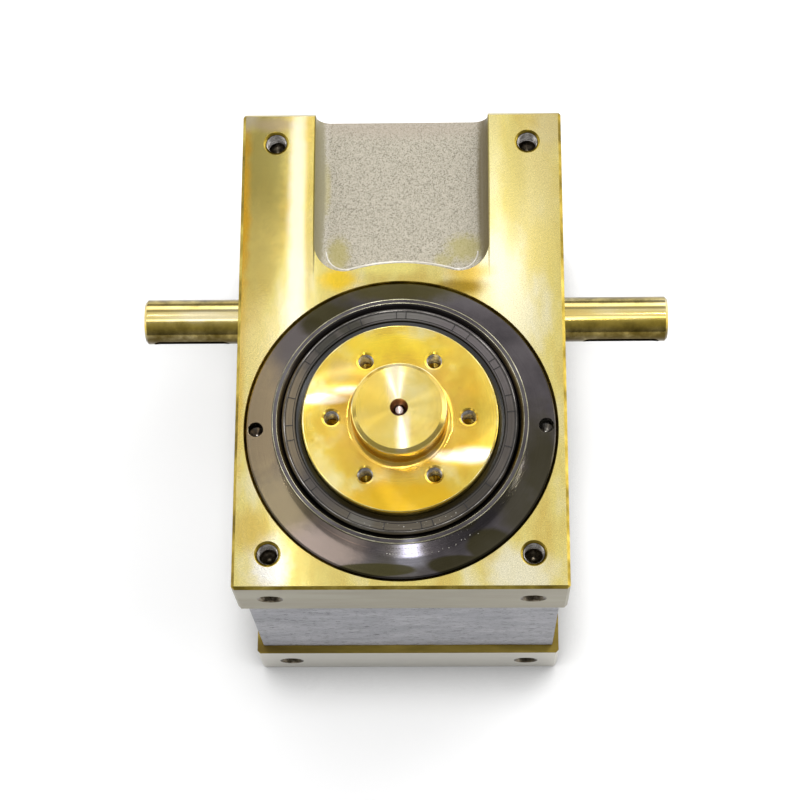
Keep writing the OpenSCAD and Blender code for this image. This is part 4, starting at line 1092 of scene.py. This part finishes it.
@dataclass
class Thread:
    """The thread in a tapped hole, as a helical ridge inside the bore.

    Attributes:
        name: Name of the piece.
        body: The body that carries it.
        radius: Radius of the bore.
        depth: Depth of the thread.
        pitch: Distance between two turns.
        mouths: Where each hole starts, and the direction out of it.
        start: Distance of the first turn below the mouth.
        steps: Number of faces round one turn.
        ridge_w: Width of the ridge at its foot, as a part of the pitch.
        ridge_h: Height of the ridge, as a part of the pitch.
        crest: Where its flat crest starts and ends, as parts of its width.
        finish: Its finish.
    """

    name: str
    body: str
    radius: float
    depth: float
    pitch: float
    mouths: list[tuple[Vector, Vector]]
    start: float = 0.5 * MM
    steps: int = 28
    ridge_w: float = 0.45
    ridge_h: float = 0.29
    crest: tuple[float, float] = (0.42, 0.58)
    finish: Finish = THREAD_STEEL

    def build(self) -> None:
        """Sweeps a ridge down each hole."""
        ridge = self.ridge_w * self.pitch
        turns = int((self.depth - self.start) / self.pitch)
        outer = self.radius - 0.005 * MM
        inner = self.radius - self.ridge_h * self.pitch
        bm = bmesh.new()
        for mouth, out in self.mouths:
            before = set(bm.verts)
            profile = strip(bm, [
                (outer, -self.start),
                (inner, -self.start - self.crest[0] * ridge),
                (inner, -self.start - self.crest[1] * ridge),
                (outer, -self.start - ridge),
            ])
            turned(bm, profile, 2 * math.pi * turns, self.steps * turns,
                   rise=-self.pitch / self.steps)
            new = [v for v in bm.verts if v not in before]
            turn = Vector((0, 0, 1)).rotation_difference(out).to_matrix().to_4x4()
            bmesh.ops.transform(bm, matrix=Matrix.Translation(mouth) @ turn, verts=new)
        bmesh.ops.recalc_face_normals(bm, faces=bm.faces)
        finished_object(self.name, bm, self.body, self.finish)


# ------------------------------------------------------------------ cast and painted detail


@dataclass
class CastSkin:
    """The rough skin on one side of the casting, between the two machined pads.

    Attributes:
        name: Name of the piece.
        middle: Middle of the side.
        across: Half its length, as a vector along it.
        up: Half its height, as a vector.
        out: The way out of the casting.
        holes: Nodes that stand in the side, with the room that each needs round it.
        proud: How far the skin's middle lies above the CAD face.
        relief: Height of its lumps.
        cell: Size of a face.
        tuck: How far its rim dips below the CAD face, so that no slit shows.
        lump: Size of its lumps.
        pit: Size of its pits.
        scratch: Width of its scratches.
        drawn: How much of the way along a scratch is taken out of the noise.
    """

    name: str
    middle: Vector
    across: Vector
    up: Vector
    out: Vector
    holes: tuple[tuple[str, float], ...] = ()
    proud: float = 0.14 * MM
    relief: float = 0.12 * MM
    cell: float = 0.45 * MM
    tuck: float = 0.25 * MM
    lump: float = 2.6 * MM
    pit: float = 1.3 * MM
    scratch: float = 0.7 * MM
    drawn: float = 0.93

    def build(self) -> None:
        """Lays a grid on the side and roughens it."""
        bm = bmesh.new()
        columns = int(2 * self.across.length / self.cell)
        rows = int(2 * self.up.length / self.cell)
        bmesh.ops.create_grid(bm, x_segments=columns, y_segments=rows, size=1.0)
        for vert in bm.verts:
            vert.co = self.middle + vert.co.x * self.across + vert.co.y * self.up
        self.clear(bm)
        for vert in bm.verts:
            rim = vert.is_boundary
            vert.co += self.out * (-self.tuck if rim else self.height(vert.co))
        if self.across.cross(self.up).dot(self.out) < 0:
            bmesh.ops.reverse_faces(bm, faces=bm.faces)
        finished_object(self.name, bm, "case", CAST_SKIN)

    def clear(self, bm: bmesh.types.BMesh) -> None:
        """Takes the grid away round what stands in the side.

        Args:
            bm: The grid.
        """
        for node, room in self.holes:
            low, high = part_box(node)
            centre = (Vector(low) + Vector(high)) / 2
            reach = (Vector(high) - Vector(low)).dot(self.up.normalized()) / 2
            gone = [
                f for f in bm.faces
                if self.flat_distance(f.calc_center_median(), centre) < reach + room
            ]
            bmesh.ops.delete(bm, geom=gone, context="FACES")

    def flat_distance(self, a: Vector, b: Vector) -> float:
        """Gives the distance between two points as seen along the side's normal."""
        gap = a - b
        return (gap - gap.dot(self.out) * self.out).length

    def height(self, point: Vector) -> float:
        """Gives the skin's height at a point: lumps, pits and scratches along it.

        Args:
            point: A point on the flat side.

        Returns:
            Its distance out of the CAD face.
        """
        # Pits and scratches read the noise at far-off places, so that they don't coincide.
        lumps = noise.fractal(point / self.lump, 0.9, 2.1, 4)
        pit = noise.noise(point / self.pit + Vector((31.0, 7.0, 5.0)))
        along = self.across.normalized()
        drawn = point - self.drawn * point.dot(along) * along
        scratch = noise.noise(drawn / self.scratch + Vector((3.0, 17.0, 11.0)))
        sunk = 1.4 * max(0.0, pit - 0.42) + 1.1 * max(0.0, scratch - 0.25)
        return self.proud + self.relief * (0.3 * lumps - 2.6 * sunk)


@dataclass
class RecessHighlightBead:
    """A nearly white bead along the foot of the recess's rounded end, painting the highlight of
    its fillet.

    Attributes:
        half_w: Half width of the recess.
        corner_r: Radius of its two corners.
        arc_r: Radius of the arc round the ring that ends it.
        inset: Distance of the run from the wall.
        floor: Height of the paint there.
        bead_r: Radius of the bead.
        corner_steps: Number of faces along a corner.
        arc_steps: Number of faces along the arc.
    """

    half_w: float = 29.2 * MM
    corner_r: float = 10.0 * MM
    arc_r: float = 57.5 * MM
    inset: float = 3.6 * MM
    floor: float = 115.15 * MM
    bead_r: float = 0.36 * MM
    corner_steps: int = 28
    arc_steps: int = 40

    def build(self) -> None:
        """Sweeps the bead round one corner, along the arc and round the other corner."""
        corner_x = self.half_w - self.corner_r
        corner_y = math.sqrt((self.arc_r + self.corner_r) ** 2 - corner_x**2)
        meet = math.atan(corner_x / corner_y)
        z = self.floor
        bm = bmesh.new()
        last = bead(bm, self.bead_r, (-self.half_w + self.inset, corner_y, z))
        for centre, angle, steps in (
            ((-corner_x, corner_y, z), math.pi / 2 + meet, self.corner_steps),
            ((0.0, 0.0, z), -2 * meet, self.arc_steps),
            ((corner_x, corner_y, z), math.pi / 2 + meet, self.corner_steps),
        ):
            last = turned(bm, last, angle, steps, centre)
        bmesh.ops.holes_fill(bm, edges=bm.edges, sides=8)
        bmesh.ops.recalc_face_normals(bm, faces=bm.faces)
        finished_object("recess_highlight_bead", bm, "case", WHITE_HIGHLIGHT_BEAD)


@dataclass
class WornEdge:
    """A turned corner rubbed bright, as a fine bead round the output axis.

    Attributes:
        name: Name of the piece.
        body: The body that carries it.
        radius: Distance of the corner from the axis.
        height: Height of the corner.
        bead_r: Radius of the bead.
        finish: Its finish.
        steps: Number of faces round the axis.
    """

    name: str
    body: str
    radius: float
    height: float
    bead_r: float
    finish: Finish
    steps: int = 144

    def build(self) -> None:
        """Turns the bead, sunk in the corner so that half of it shows."""
        bm = bmesh.new()
        sunk_r = self.radius - 0.5 * self.bead_r
        sunk_z = self.height - 0.6 * self.bead_r
        outline = bead(bm, self.bead_r, (sunk_r, 0, sunk_z))
        turned(bm, outline, 2 * math.pi, self.steps, closed=True)
        bmesh.ops.recalc_face_normals(bm, faces=bm.faces)
        finished_object(self.name, bm, self.body, self.finish)


@dataclass
class SealFace:
    """Moulded ribs on the face of the front oil seal: two rings with short bars between them.

    Attributes:
        inner_r: Radius of the inner rib.
        outer_r: Radius of the outer rib.
        rib_w: Width of a rib.
        rib_h: Height of a rib above the face.
        foot: How far a rib reaches into the face.
        steps: Number of faces round a rib.
        bars_deg: The direction of each bar.
    """

    inner_r: float = 34.5 * MM
    outer_r: float = 36.9 * MM
    rib_w: float = 0.24 * MM
    rib_h: float = 0.22 * MM
    foot: float = 0.02 * MM
    steps: int = 120
    bars_deg: tuple[float, ...] = (
        4, 13, 29, 34, 52, 61, 87, 92, 111, 118, 139, 147, 168, 183, 191, 214, 220, 243,
        262, 281, 287, 306, 322, 345,
    )

    def build(self) -> None:
        """Turns the two rings and sets the bars between them."""
        face_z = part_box("front_seal")[1][2]
        half = self.rib_w / 2
        bm = bmesh.new()
        for radius in (self.inner_r, self.outer_r):
            profile = strip(bm, [
                (radius - half, face_z - self.foot), (radius - half / 2, face_z + self.rib_h),
                (radius + half / 2, face_z + self.rib_h), (radius + half, face_z - self.foot),
            ])
            turned(bm, profile, 2 * math.pi, self.steps, closed=True)
        length = self.outer_r - self.inner_r
        size = Matrix.Diagonal((length, self.rib_w, 2 * self.rib_h, 1.0))
        place = Matrix.Translation(((self.inner_r + self.outer_r) / 2, 0, face_z))
        for degrees in self.bars_deg:
            turn = Matrix.Rotation(math.radians(degrees), 4, "Z")
            bmesh.ops.create_cube(bm, size=1.0, matrix=turn @ place @ size)
        bmesh.ops.recalc_face_normals(bm, faces=bm.faces)
        finished_object("seal_ribs", bm, "case", RIB)


@dataclass
class OilBeads:
    """Specks of fresh oil along an arc round the output axis.

    Attributes:
        count: How many there are.
        arc_deg: Where the arc starts and ends.
        radius: Radius of the arc.
        height: Height of the face on which they stand.
        stray: How far they lie off the arc.
        bead_r: Radius of the largest bead.
        flat: Height of a bead, as a part of its radius.
        shrink: How much smaller the smallest bead of a loose line is.
    """

    count: int
    arc_deg: tuple[float, float]
    radius: float
    height: float
    stray: float
    bead_r: float = 0.24 * MM
    flat: float = 0.6
    shrink: float = 0.6

    def add_to(self, bm: bmesh.types.BMesh) -> None:
        """Adds the beads, at places from noise that is the same in each run.

        Args:
            bm: The mesh that takes them.
        """
        start, end = self.arc_deg
        loose = min(1.0, self.stray / MM)
        for i in range(self.count):
            pick = noise.cell_vector(Vector((i + 0.5, 3.5, self.count + 0.5)))
            angle = math.radians(start + (end - start) * (i + loose * pick.x) / self.count)
            radius = self.radius + self.stray * (2 * pick.y - 1)
            size = self.bead_r * (1.0 - self.shrink * pick.z * loose)
            place = Matrix.Translation(
                (radius * math.cos(angle), radius * math.sin(angle), self.height))
            bmesh.ops.create_icosphere(
                bm, subdivisions=1, radius=1.0,
                matrix=place @ Matrix.Diagonal((size, size, self.flat * size, 1.0)),
            )


def lay_beads(lines: list[OilBeads]) -> None:
    """Makes one piece of all the beads.

    Args:
        lines: The arcs along which they lie.
    """
    bm = bmesh.new()
    for line in lines:
        line.add_to(bm)
    finished_object("oil_beads_with_glints", bm, "case", OIL_BEAD_GLINT)


# ------------------------------------------------------------------ studio


@dataclass
class SoftBox:
    """A rectangular studio lamp.

    Attributes:
        name: The lamp's name.
        place: Where it hangs.
        target: The point that it faces.
        size: Its width and height.
        glow: Its brightness, where 1 is a white wall.
        glints_only: Whether it shows only in glossy surfaces and throws no shadow.
    """

    name: str
    place: tuple[float, float, float]
    target: tuple[float, float, float]
    size: tuple[float, float]
    glow: float
    glints_only: bool = False

    def build(self) -> None:
        """Hangs the lamp."""
        lamp = bpy.data.lights.new(self.name, "AREA")
        lamp.shape = "RECTANGLE"
        lamp.size, lamp.size_y = self.size
        lamp.energy = self.glow * math.pi * self.size[0] * self.size[1]
        holder = bpy.data.objects.new(self.name, lamp)
        holder.location = self.place
        aim = Vector(self.target) - Vector(self.place)
        holder.rotation_euler = aim.to_track_quat("-Z", "Y").to_euler()
        holder.visible_camera = False
        holder.visible_diffuse = not self.glints_only
        bpy.context.scene.collection.objects.link(holder)


@dataclass
class Studio:
    """The pale floor, the soft lamps, the pale surroundings and the camera.

    Attributes:
        floor_half: Half the width of the floor.
        contact: How near the object the floor is darkened by it.
        shade: Where that darkening ends and how dark it gets, as two stops.
        floor_glow: Light that the floor adds for the camera and in reflections.
        eye: The camera's place.
        tilt_deg: The camera's turns about X, Y and Z.
        lens_mm: Its focal length.
        sensor_mm: Its sensor's width.
        near_clip: The nearest distance that it sees.
        room_glow: Brightness of the surroundings.
        room: Angles in degrees from the far horizon over to the near one, each with its level.
    """

    floor_half: float = 3.0
    contact: float = 20 * MM
    shade: tuple[tuple[float, float], ...] = ((0.45, 0.36), (0.95, 0.92))
    floor_glow: float = 0.3
    eye: tuple[float, float, float] = (0.01924, -0.21989, 0.81346)
    tilt_deg: tuple[float, float, float] = (-18.373, -1.620, -0.162)
    lens_mm: float = 100.56
    sensor_mm: float = 36.0
    near_clip: float = 0.01
    room_glow: float = 2.5
    room: tuple[tuple[float, float], ...] = (
        (16, 0.14), (22, 0.96), (36, 0.96), (43, 0.16), (55, 0.16), (58, 0.36),
        (96, 0.36), (98, 0.96), (104, 0.96), (107, 0.14), (145, 0.12),
    )

    def build(self) -> None:
        """Sets up everything around the object."""
        self.floor()
        self.surroundings()
        self.camera()
        # Two strips and a pool light the milled face, two small lamps draw the wedges on the
        # turned flange, and the rest gives the form and its shadow.
        for lamp in (
            SoftBox("left_strip", (-0.066, 0.19, 0.52), (-0.066, 0.191, 0), (0.007, 0.36), 2.6),
            SoftBox("right_strip", (0.038, 0.25, 0.52), (0.038, 0.251, 0), (0.012, 0.12), 0.8),
            SoftBox("right_pool", (0.041, 0.213, 0.52), (0.041, 0.214, 0), (0.03, 0.05), 1.3),
            SoftBox("wedge_left", (-0.26, 0.30, 0.90), (0, 0, 0.13), (0.016, 0.016), 380.0,
                    glints_only=True),
            SoftBox("wedge_right", (0.20, 0.162, 0.90), (0, 0, 0.13), (0.016, 0.016), 330.0,
                    glints_only=True),
            SoftBox("key", (0.75, 0.75, 1.2), (0, 0, 0.05), (0.7, 0.7), 3.0),
            SoftBox("flash", (0.02, -0.30, 1.10), (0, 0, 0.12), (0.16, 0.16), 14.0),
            SoftBox("right_low", (1.2, 0.3, 0.25), (0, 0, 0.12), (0.5, 0.3), 3.0),
        ):
            lamp.build()

    def floor(self) -> None:
        """Lays the floor, which is pale and keeps the object's shadow."""
        bm = bmesh.new()
        bmesh.ops.create_grid(bm, x_segments=2, y_segments=2, size=self.floor_half)
        ground = placed("studio_floor", bm)
        ground.location = (0, 0, CAD_BOX[0][2])
        ground.data.materials.append(self.paper())

    def paper(self) -> Any:
        """Makes the floor's white paper, darker close to the object.

        Returns:
            The material, which is plainly white for the camera and in reflections.
        """
        paper = bpy.data.materials.new("white paper")
        tree = blank_tree(paper)
        near = add(tree, "AmbientOcclusion", {"Distance": self.contact}, samples=8)
        shade = add(tree, "ValToRGB", {"Fac": near.outputs["AO"]},
                    stops=[(lit, grey(level)) for lit, level in self.shade])
        tone = shade.outputs["Color"]
        sheet = add(tree, "BsdfDiffuse", {"Color": tone})
        glow = add(tree, "Emission", {"Color": tone, "Strength": self.floor_glow})
        both = add(tree, "AddShader", {0: sheet.outputs[0], 1: glow.outputs[0]})
        path = add(tree, "LightPath")
        seen = add(tree, "Math", {
            0: path.outputs["Is Camera Ray"], 1: path.outputs["Is Glossy Ray"],
        }, operation="ADD")
        seen_too = add(tree, "Math", {
            0: seen.outputs[0], 1: path.outputs["Is Transmission Ray"],
        }, operation="ADD", use_clamp=True)
        mixed = add(tree, "MixShader", {
            0: seen_too.outputs[0], 1: sheet.outputs[0], 2: both.outputs[0],
        })
        add(tree, "OutputMaterial", {"Surface": mixed.outputs[0]})
        return paper

    def surroundings(self) -> None:
        """Lights the room: each angle from the far horizon over to the near one has a level."""
        world = bpy.data.worlds.new("studio")
        tree = blank_tree(world)
        way = add(tree, "TexCoord").outputs["Generated"]
        parts = add(tree, "SeparateXYZ", {"Vector": way}).outputs
        angle = add(tree, "Math", {0: parts["Z"], 1: parts["Y"]}, operation="ARCTAN2")
        turn = add(tree, "Math", {0: angle.outputs[0], 1: 1 / math.pi},
                   operation="MULTIPLY", use_clamp=True)
        levels = add(tree, "ValToRGB", {"Fac": turn.outputs[0]},
                     stops=[(degrees / 180, grey(level)) for degrees, level in self.room])
        light = add(tree, "Background", {
            "Color": levels.outputs["Color"], "Strength": self.room_glow,
        })
        plain = add(tree, "Background", {"Color": grey(1.0), "Strength": 1.0})
        seen = add(tree, "LightPath").outputs["Is Camera Ray"]
        both = add(tree, "MixShader", {0: seen, 1: light.outputs[0], 2: plain.outputs[0]})
        add(tree, "OutputWorld", {"Surface": both.outputs[0]})
        bpy.context.scene.world = world

    def camera(self) -> None:
        """Sets the camera at its place above the near end."""
        rx, ry, rz = (math.radians(a) for a in self.tilt_deg)
        view = (Matrix.Rotation(rz, 3, "Z") @ Matrix.Rotation(rx, 3, "X")
                @ Matrix.Rotation(ry, 3, "Y"))
        lens = bpy.data.cameras.new("camera")
        lens.lens = self.lens_mm
        lens.sensor_width = self.sensor_mm
        lens.clip_start = self.near_clip
        holder = bpy.data.objects.new("camera", lens)
        holder.matrix_world = Matrix.Translation(self.eye) @ view.transposed().to_4x4()
        bpy.context.scene.collection.objects.link(holder)
        bpy.context.scene.camera = holder


# ------------------------------------------------------------------ the whole object

# Threads as in the metric coarse series: the pitch of M8 and M6, and the tapped radius of M6.
M8_PITCH = 1.25 * MM
M6_PITCH = 1.0 * MM
M6_TAP_R = 2.5 * MM
# Bare metal left round what stands in the cast skins.
FITTING_ROOM = 3.0 * MM
SLEEVE_ROOM = 1.5 * MM
# Heights of the adjusting ring's face and of the flange's face.
RING_Z = 123.4 * MM
FLANGE_Z = 134.0 * MM


def dress_nodes() -> None:
    """Gives every CAD node the finish of its material slot."""
    slots = {s["node"]: s["material_slot"] for s in frame["record"]["subparts"]}
    for name, node in frame["nodes"].items():
        finish = NODE_FINISH.get(name) or SLOT_FINISH.get(slots[name])
        if finish is None:
            continue
        node.data.materials.clear()
        node.data.materials.append(finish.material())
        log.info("%s: %s", name, finish.name)


def flange_mouths() -> list[tuple[Vector, Vector]]:
    """Reads the mouths of the flange's tapped holes from the record.

    Returns:
        The middle of each mouth with the way out of the hole.
    """
    mount = next(m for m in frame["record"]["mounts"] if m["name"] == "output_flange_holes")
    radius = mount["dims"]["pcd_mm"] * MM / 2
    count = mount["dims"]["count"]
    top = mount["pos_m"][2]
    angles = [2 * math.pi * i / count for i in range(count)]
    up = Vector((0, 0, 1))
    return [(Vector((radius * math.cos(a), radius * math.sin(a), top)), up) for a in angles]


def cast_skins(case: Case) -> list[CastSkin]:
    """Gives the cast skins of the four sides.

    Args:
        case: The case that they lie on.

    Returns:
        The skins of the near, far, left and right side.
    """
    low_z = case.low.z + case.rear_pad
    high_z = case.high.z - case.front_pad
    mid_z, half_z = (low_z + high_z) / 2, Vector((0, 0, (high_z - low_z) / 2))
    side_x = case.high.x - case.side_relief
    near_y, far_y = case.low.y + case.end_relief, case.high.y - case.end_relief
    mid_y = (near_y + far_y) / 2
    half_y, half_x = Vector((0, (far_y - near_y) / 2, 0)), Vector((side_x, 0, 0))
    fittings = tuple((node, FITTING_ROOM) for node in ("fill_plug", "drain_plug",
                                                       "sight_glass_body"))
    return [
        CastSkin("near_skin", Vector((0, near_y, mid_z)), half_x, half_z, Vector((0, -1, 0))),
        CastSkin("far_skin", Vector((0, far_y, mid_z)), half_x, half_z, Vector((0, 1, 0)),
                 fittings),
        CastSkin("left_skin", Vector((-side_x, mid_y, mid_z)), half_y, half_z,
                 Vector((-1, 0, 0)), (("input_sleeve_left", SLEEVE_ROOM),)),
        CastSkin("right_skin", Vector((side_x, mid_y, mid_z)), half_y, half_z,
                 Vector((1, 0, 0)), (("input_sleeve_right", SLEEVE_ROOM),)),
    ]


def main() -> None:
    """Builds the classes in order."""
    logging.basicConfig(level=logging.INFO, format="%(name)s: %(message)s")
    dress_nodes()
    case = Case()
    case.build()
    up, near = Vector((0, 0, 1)), Vector((0, -1, 0))
    for thread in (
        Thread("front_hole_threads", "case", case.hole_r, 7.5 * MM, M8_PITCH,
               [(p, up) for p in case.front_holes]),
        Thread("end_hole_threads", "case", case.hole_r, 9.5 * MM, M8_PITCH,
               [(p, near) for p in case.end_holes], finish=SHADED_THREAD),
        Thread("flange_hole_threads", "output", M6_TAP_R, 9.0 * MM, M6_PITCH, flange_mouths()),
    ):
        thread.build()
    RecessHighlightBead().build()
    SealFace().build()
    rim_z, seal_z, boss_z = (
        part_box(node)[1][2] for node in ("adjusting_ring", "front_seal", "output_shaft"))
    for edge in (
        WornEdge("ring_corner", "case", 49.8 * MM, RING_Z - 0.18 * MM, 0.16 * MM, WORN_BLACK),
        WornEdge("collar_corner", "case", 41.15 * MM, rim_z - 0.1 * MM, 0.2 * MM, WORN_BLACK),
        WornEdge("collar_lip", "case", 39.85 * MM, rim_z, 0.13 * MM, WORN_BLACK),
        WornEdge("flange_corner", "output", 31.2 * MM, FLANGE_Z, 0.16 * MM, EDGE_GLINT),
        WornEdge("boss_corner", "output", 15.1 * MM, boss_z - 1.25 * MM, 0.16 * MM, EDGE_GLINT),
        WornEdge("seal_corner", "case", 37.4 * MM, seal_z + 0.1 * MM, 0.2 * MM, WET_RUBBER),
    ):
        edge.build()
    lay_beads([
        OilBeads(13, (264.0, 282.0), 42.3 * MM, RING_Z, 0.03 * MM),
        OilBeads(9, (283.0, 306.0), 42.9 * MM, RING_Z, 0.6 * MM),
        OilBeads(17, (252.0, 300.0), 35.8 * MM, seal_z, 1.4 * MM, 0.2 * MM),
    ])
    for skin in cast_skins(case):
        skin.build()
    Studio().build()
    bpy.context.scene.view_settings.view_transform = "Standard"


if __name__ == "__main__":
    main()
